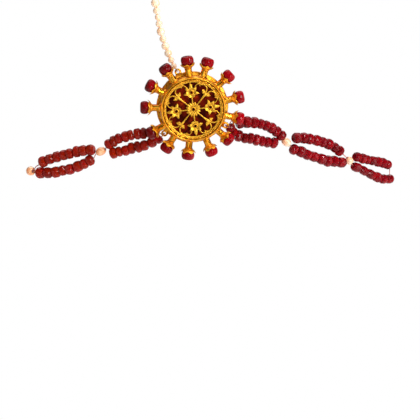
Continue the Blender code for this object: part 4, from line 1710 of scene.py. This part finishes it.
@dataclass
class Strings:
    """All the strings: their beads, their threads, and how they pass rings and hooks."""

    pearls: dict[str, JoiningPearl]
    hooks: dict[str, HairHook]
    rings: Rings
    # Loops go round a ring's wire from this angle, in these steps.
    loop_deg: int = 285
    loop_step_deg: int = 15
    # Points of a thread keep this far apart, and it is drawn thinner than its solid.
    point_gap: float = 5e-5
    thread_share: float = 0.8
    # Seed pearls have small bumps, on a unit ball, and each runs a little into the next.
    pearl_sides: int = 20
    pearl_bump: float = 0.03
    pearl_overlap: float = 1.06

    def ring_loop(self, side: Side, last_deg: int = 10) -> list[Vector]:
        """Points of a thread that passes from behind through a ring to its front.

        Args:
            side: which ring.
            last_deg: angle round the ring's wire where the thread leaves it.

        Returns:
            The points of the loop.
        """
        turn, rings = medallion_turn(), self.rings
        middle = rings.distance + (rings.bore + rings.wire) / 2
        reach = rings.wire / 2 + WIRE_GAP + THREAD_RADIUS
        points = []
        for degrees in range(self.loop_deg, last_deg - 1, -self.loop_step_deg):
            angle = math.radians(degrees)
            points.append(turn @ polar(middle + reach * math.cos(angle), rings.angle(side),
                                       rings.height + reach * math.sin(angle)))
        return points

    def thread(self, name: str, stretches: Sequence[Sequence[Vector]],
               material: bpy.types.Material, slot: str, node: str) -> None:
        """Draw one thread through all its stretches and dress it.

        Args:
            name: name of the new piece.
            stretches: its lines, in order.
            material: its finish.
            slot: the record's material slot; not used.
            node: the solid that it stands for.
        """
        points: list[Vector] = []
        for stretch in stretches:
            for point in stretch:
                if not points or (point - points[-1]).length > self.point_gap:
                    points.append(Vector(point))
        piece = drawn_wire(name, points, self.thread_share * THREAD_RADIUS)
        dress(piece, material, [node])

    def build_rubies(self, ruby: bpy.types.Material, cord: bpy.types.Material) -> None:
        """String the seven ruby strings and dress them.

        Args:
            ruby: finish of the beads.
            cord: finish of the threads.
        """
        bead = RubyBead()
        pattern = bead.pattern()
        chance = random.Random(7)
        rows = {
            "left_inner_string": (Strand("left_inner_upper", 8), Strand("left_inner_lower", 8)),
            "left_outer_upper_string": (Strand("left_outer_upper", 8),),
            "left_outer_lower_string": (Strand("left_outer_lower", 8),),
            "right_inner_string": (Strand("right_inner_upper", 8),
                                   Strand("right_inner_lower", 9)),
            "right_middle_upper_string": (Strand("right_middle_upper", 8),),
            "right_middle_lower_string": (Strand("right_middle_lower", 8),),
            "right_outer_string": (Strand("right_outer_upper", 7, 1.02, 0.00008),
                                   Strand("right_outer_lower", 6, 1.02, 0.00008)),
        }
        for node, strands in rows.items():
            pieces = []
            for strand in strands:
                pieces += strand.beads(pattern, bead, chance)
            dress(join(pieces, node.replace("string", "rubies")), ruby, [node])
        discard(pattern)
        for node, stretches in self.threads().items():
            self.thread(node.replace("string", "thread"), stretches, cord, "ruby", node)

    def threads(self) -> dict[str, list[list[Vector]]]:
        """Lines of the threads of the ruby strings.

        Returns:
            For each string, the stretches of its thread in order.
        """
        lines: dict[str, list[list[Vector]]] = {}
        for side in (Side.LEFT, Side.RIGHT):
            label = side.label()
            lines[label + "_inner_string"] = [
                self.pearls[label + "_joining_pearl"].thread(Lie.IN),
                row_line(label + "_inner_upper")[::-1],
                route(label + "_inner_lead") + self.ring_loop(side),
                row_line(label + "_inner_lower")]
        first = self.pearls["left_joining_pearl"]
        end = self.pearls["left_end_pearl"]
        half = end.length / 2
        bore = [end.centre() - end.axis() * (half + GAP), end.centre() + end.axis() * half]
        lines["left_outer_lower_string"] = [first.thread(Lie.OUT),
                                            row_line("left_outer_lower")]
        lines["left_outer_upper_string"] = [
            row_line("left_outer_upper"), route("left_end_lead"), bore,
            self.hooks["left_hair_hook"].loop()]
        second = self.pearls["right_joining_pearl"]
        third = self.pearls["right_outer_pearl"]
        lines["right_middle_lower_string"] = [second.thread(Lie.OUT),
                                              row_line("right_middle_lower")]
        lines["right_middle_upper_string"] = [row_line("right_middle_upper"),
                                              third.thread(Lie.IN)[::-1]]
        lines["right_outer_string"] = [
            third.thread(Lie.OUT), row_line("right_outer_lower"),
            self.hooks["right_hair_hook"].loop(),
            row_line("right_outer_upper")[::-1]]
        return lines

    def build_pearls(self, nacre: bpy.types.Material, cord: bpy.types.Material) -> None:
        """String the pearls up the parting and dress them.

        Args:
            nacre: finish of the pearls.
            cord: finish of the thread.
        """
        sizes = [SEED_PEARL * share for share in PARTING_SHARES]
        line = row_line("top")
        length = line_length(line)
        pearl = turned("seed_pearl", SEED_PROFILE, self.pearl_sides, smooth_deg=60)
        chance = random.Random(4)
        pieces, start = [], 0.0
        for index, size in enumerate(sizes):
            span = length * size / sum(sizes)
            low, high = point_at(line, start), point_at(line, start + span)
            start += span
            piece = copy_of(pearl, "pearl_copy")
            edit()
            bpy.ops.transform.vertex_random(offset=self.pearl_bump, uniform=0.5, normal=0.6,
                                            seed=index + 1)
            bpy.ops.mesh.vertices_smooth(factor=0.5, repeat=3)
            leave()
            scale = Matrix.Diagonal((size / 2 * chance.uniform(1.0, 1.1), size / 2,
                                     self.pearl_overlap * span / 2, 1.0))
            place = (Matrix.Translation((low + high) / 2) @ facing(high - low)
                     @ Matrix.Rotation(chance.uniform(0.0, 3.0), 4, "Z") @ scale)
            pieces.append(settle(piece, place))
        discard(pearl)
        dress(join(pieces, "parting_pearls"), nacre, ["top_pearl_string"])
        ring = self.ring_loop(Side.TOP, 75)[::-1]
        loop = self.hooks["top_hair_hook"].loop()
        self.thread("parting_thread", [ring, line, loop], cord, "pale_pearl",
                    "top_pearl_string")


@dataclass
class Studio:
    """Pale floor, soft lights and the camera of the photograph."""

    floor_level: float = -0.3
    floor_size: float = 14.0
    surround: float = 0.1
    distance: float = 0.6
    azimuth: float = -5.0
    elevation: float = 14.0
    sensor_mm: float = 36.0
    metres_per_pixel: float = 0.0004
    frame_pixels: int = 420
    medallion_pixel: tuple[float, float] = (192.2, 106.8)

    def floor(self) -> None:
        """Lay the floor."""
        deselect_all()
        bpy.ops.mesh.primitive_plane_add(size=self.floor_size,
                                         location=(0.0, 0.0, self.floor_level))
        plane = bpy.context.object
        plane.name = "floor"
        # Matt white card. The photograph's background is pure white, so rays from the
        # camera see the card glow white, and all others see it as a pale floor.
        recipe = Recipe("white_card")
        seen = recipe.add("ShaderNodeLightPath", {}, "Is Camera Ray")
        colour = recipe.add("ShaderNodeMix", {0: seen, 6: "#f7f7f7", 7: "#000000"}, 2,
                            data_type="RGBA")
        plane.data.materials.append(recipe.finish(
            Base_Color=colour, Roughness=1.0, Specular_IOR_Level=0.0,
            Emission_Color="#ffffff", Emission_Strength=seen))

    def world(self) -> None:
        """Light the surroundings softly."""
        world = bpy.data.worlds.new("studio")
        bpy.context.scene.world = world
        world.use_nodes = True
        # Rays from the camera see white, as on the floor; the jewel mirrors a dim room.
        tree = world.node_tree
        shade = tree.nodes["Background"]
        rays = tree.nodes.new("ShaderNodeLightPath")
        strength = tree.nodes.new("ShaderNodeMapRange")
        strength.inputs["To Min"].default_value = self.surround
        strength.inputs["To Max"].default_value = 1.0
        tree.links.new(rays.outputs["Is Camera Ray"], strength.inputs["Value"])
        tree.links.new(strength.outputs["Result"], shade.inputs["Strength"])
        shade.inputs["Color"].default_value = (1.0, 1.0, 1.0, 1.0)

    def light(self, name: str, place: Sequence[float], target: Sequence[float], size: float,
              watts: float) -> None:
        """Hang one soft light.

        Args:
            name: its name.
            place: where it hangs.
            target: what it points at.
            size: width of its square.
            watts: its power.
        """
        data = bpy.data.lights.new(name, "AREA")
        data.size = size
        data.energy = watts
        lamp = bpy.data.objects.new(name, data)
        bpy.context.scene.collection.objects.link(lamp)
        lamp.location = place
        aim = Vector(target) - Vector(place)
        lamp.rotation_euler = aim.to_track_quat("-Z", "Y").to_euler()

    def camera(self) -> None:
        """Set the camera where the photograph was taken from."""
        azimuth, rise = math.radians(self.azimuth), math.radians(self.elevation)
        back = Vector((math.sin(azimuth) * math.cos(rise), -math.cos(azimuth) * math.cos(rise),
                       math.sin(rise)))
        right = Vector((math.cos(azimuth), math.sin(azimuth), 0.0))
        up = back.cross(right)
        middle = self.frame_pixels / 2
        across = (self.medallion_pixel[0] - middle) * self.metres_per_pixel
        above = (middle - self.medallion_pixel[1]) * self.metres_per_pixel
        place = back * self.distance - right * across - up * above
        data = bpy.data.cameras.new("camera")
        data.sensor_width = self.sensor_mm
        data.lens = (self.sensor_mm * self.distance
                     / (self.metres_per_pixel * self.frame_pixels))
        data.clip_start = 0.01
        camera = bpy.data.objects.new("camera", data)
        bpy.context.scene.collection.objects.link(camera)
        turn = Matrix((right, up, back)).transposed().to_4x4()
        camera.matrix_world = Matrix.Translation(place) @ turn
        bpy.context.scene.camera = camera

    def build(self) -> None:
        """Set up the whole studio."""
        self.camera()
        self.floor()
        self.world()
        for name, (place, target, size, watts) in LIGHTS.items():
            self.light(name, place, target, size, watts)
        bpy.context.scene.view_settings.view_transform = "Standard"


def main() -> None:
    """Build the jewel and the studio, in order."""
    logging.basicConfig(level=logging.INFO, format="%(message)s")
    Studio().build()
    polished = GoldFinish("burnished_gold_plating").make()
    # Bezel and milled wire were rubbed with fine pumice, which spreads their highlights.
    satin = GoldFinish("satin_gold_plating", roughness=0.34, dent_depth_mm=0.02).make()
    # Flange and cups were left as the hammer and the file made them: a matt grain of 0.3 mm.
    grainy = GoldFinish("filed_gold_plating", deep="#b86c08", roughness=0.45, grain_mm=0.3,
                        grain_depth_mm=0.04).make()
    # A darker, duller brown gold for the recess and its groove: painted shade in the groove.
    groove_shade = GoldFinish("tarnished_gold_plating", bright="#c08018", deep="#844c0a",
                           roughness=0.5).make()
    # Both ruby finishes paint the jewel's light into their colour: their left colour is painted
    # shade and browner reflected light on the left side, their right colour the lit right side.
    ruby = RubyFinish("faceted_ruby_stone").make()
    ruby_beads = RubyFinish("faceted_ruby_bead", "#8c1a04", "#70040e", "#940a10",
                            roughness=0.08).make()
    # Lit and shaded copies of one nacre: the left pearls take a darker, oranger peach as
    # painted shade and orange reflected light, the right ones a paler blush as painted light.
    nacre = PearlFinish("shaded_side_freshwater_pearl", "#e8955c", "#ffcfa4").make()
    lit_side_nacre = PearlFinish("lit_side_freshwater_pearl", "#f2ac82", "#ffe2cc").make()
    pale_nacre = PearlFinish("cream_freshwater_pearl", "#ffcda0", "#ffe9d2").make()
    case = Case()
    case.build(satin, grainy, groove_shade)
    Glass().build(GarnetFinish().make())
    Foil().build(FoilFinish().make(), case)
    Setting().build(polished, grainy, ruby)
    rings = Rings()
    rings.build(polished)
    pearls = {name: JoiningPearl(name, *sizes) for name, sizes in JOINING_PEARLS.items()}
    hooks = {name: HairHook(name, *lie) for name, lie in HAIR_HOOKS.items()}
    # A pearl's side picks its painted light: the shaded copy on the left, the lit copy on the
    # right.
    for pearl in pearls.values():
        pearl.build(nacre if pearl.at[0] < 0.0 else lit_side_nacre)
    for hook in hooks.values():
        hook.build(polished)
    strings = Strings(pearls, hooks, rings)
    strings.build_rubies(ruby_beads, ThreadFinish("crimson_silk_thread").make())
    strings.build_pearls(pale_nacre, ThreadFinish("cream_silk_thread", "#d9b48c",
                                                  "#fbe6cd").make())
    deselect_all()


if __name__ == "__main__":
    main()
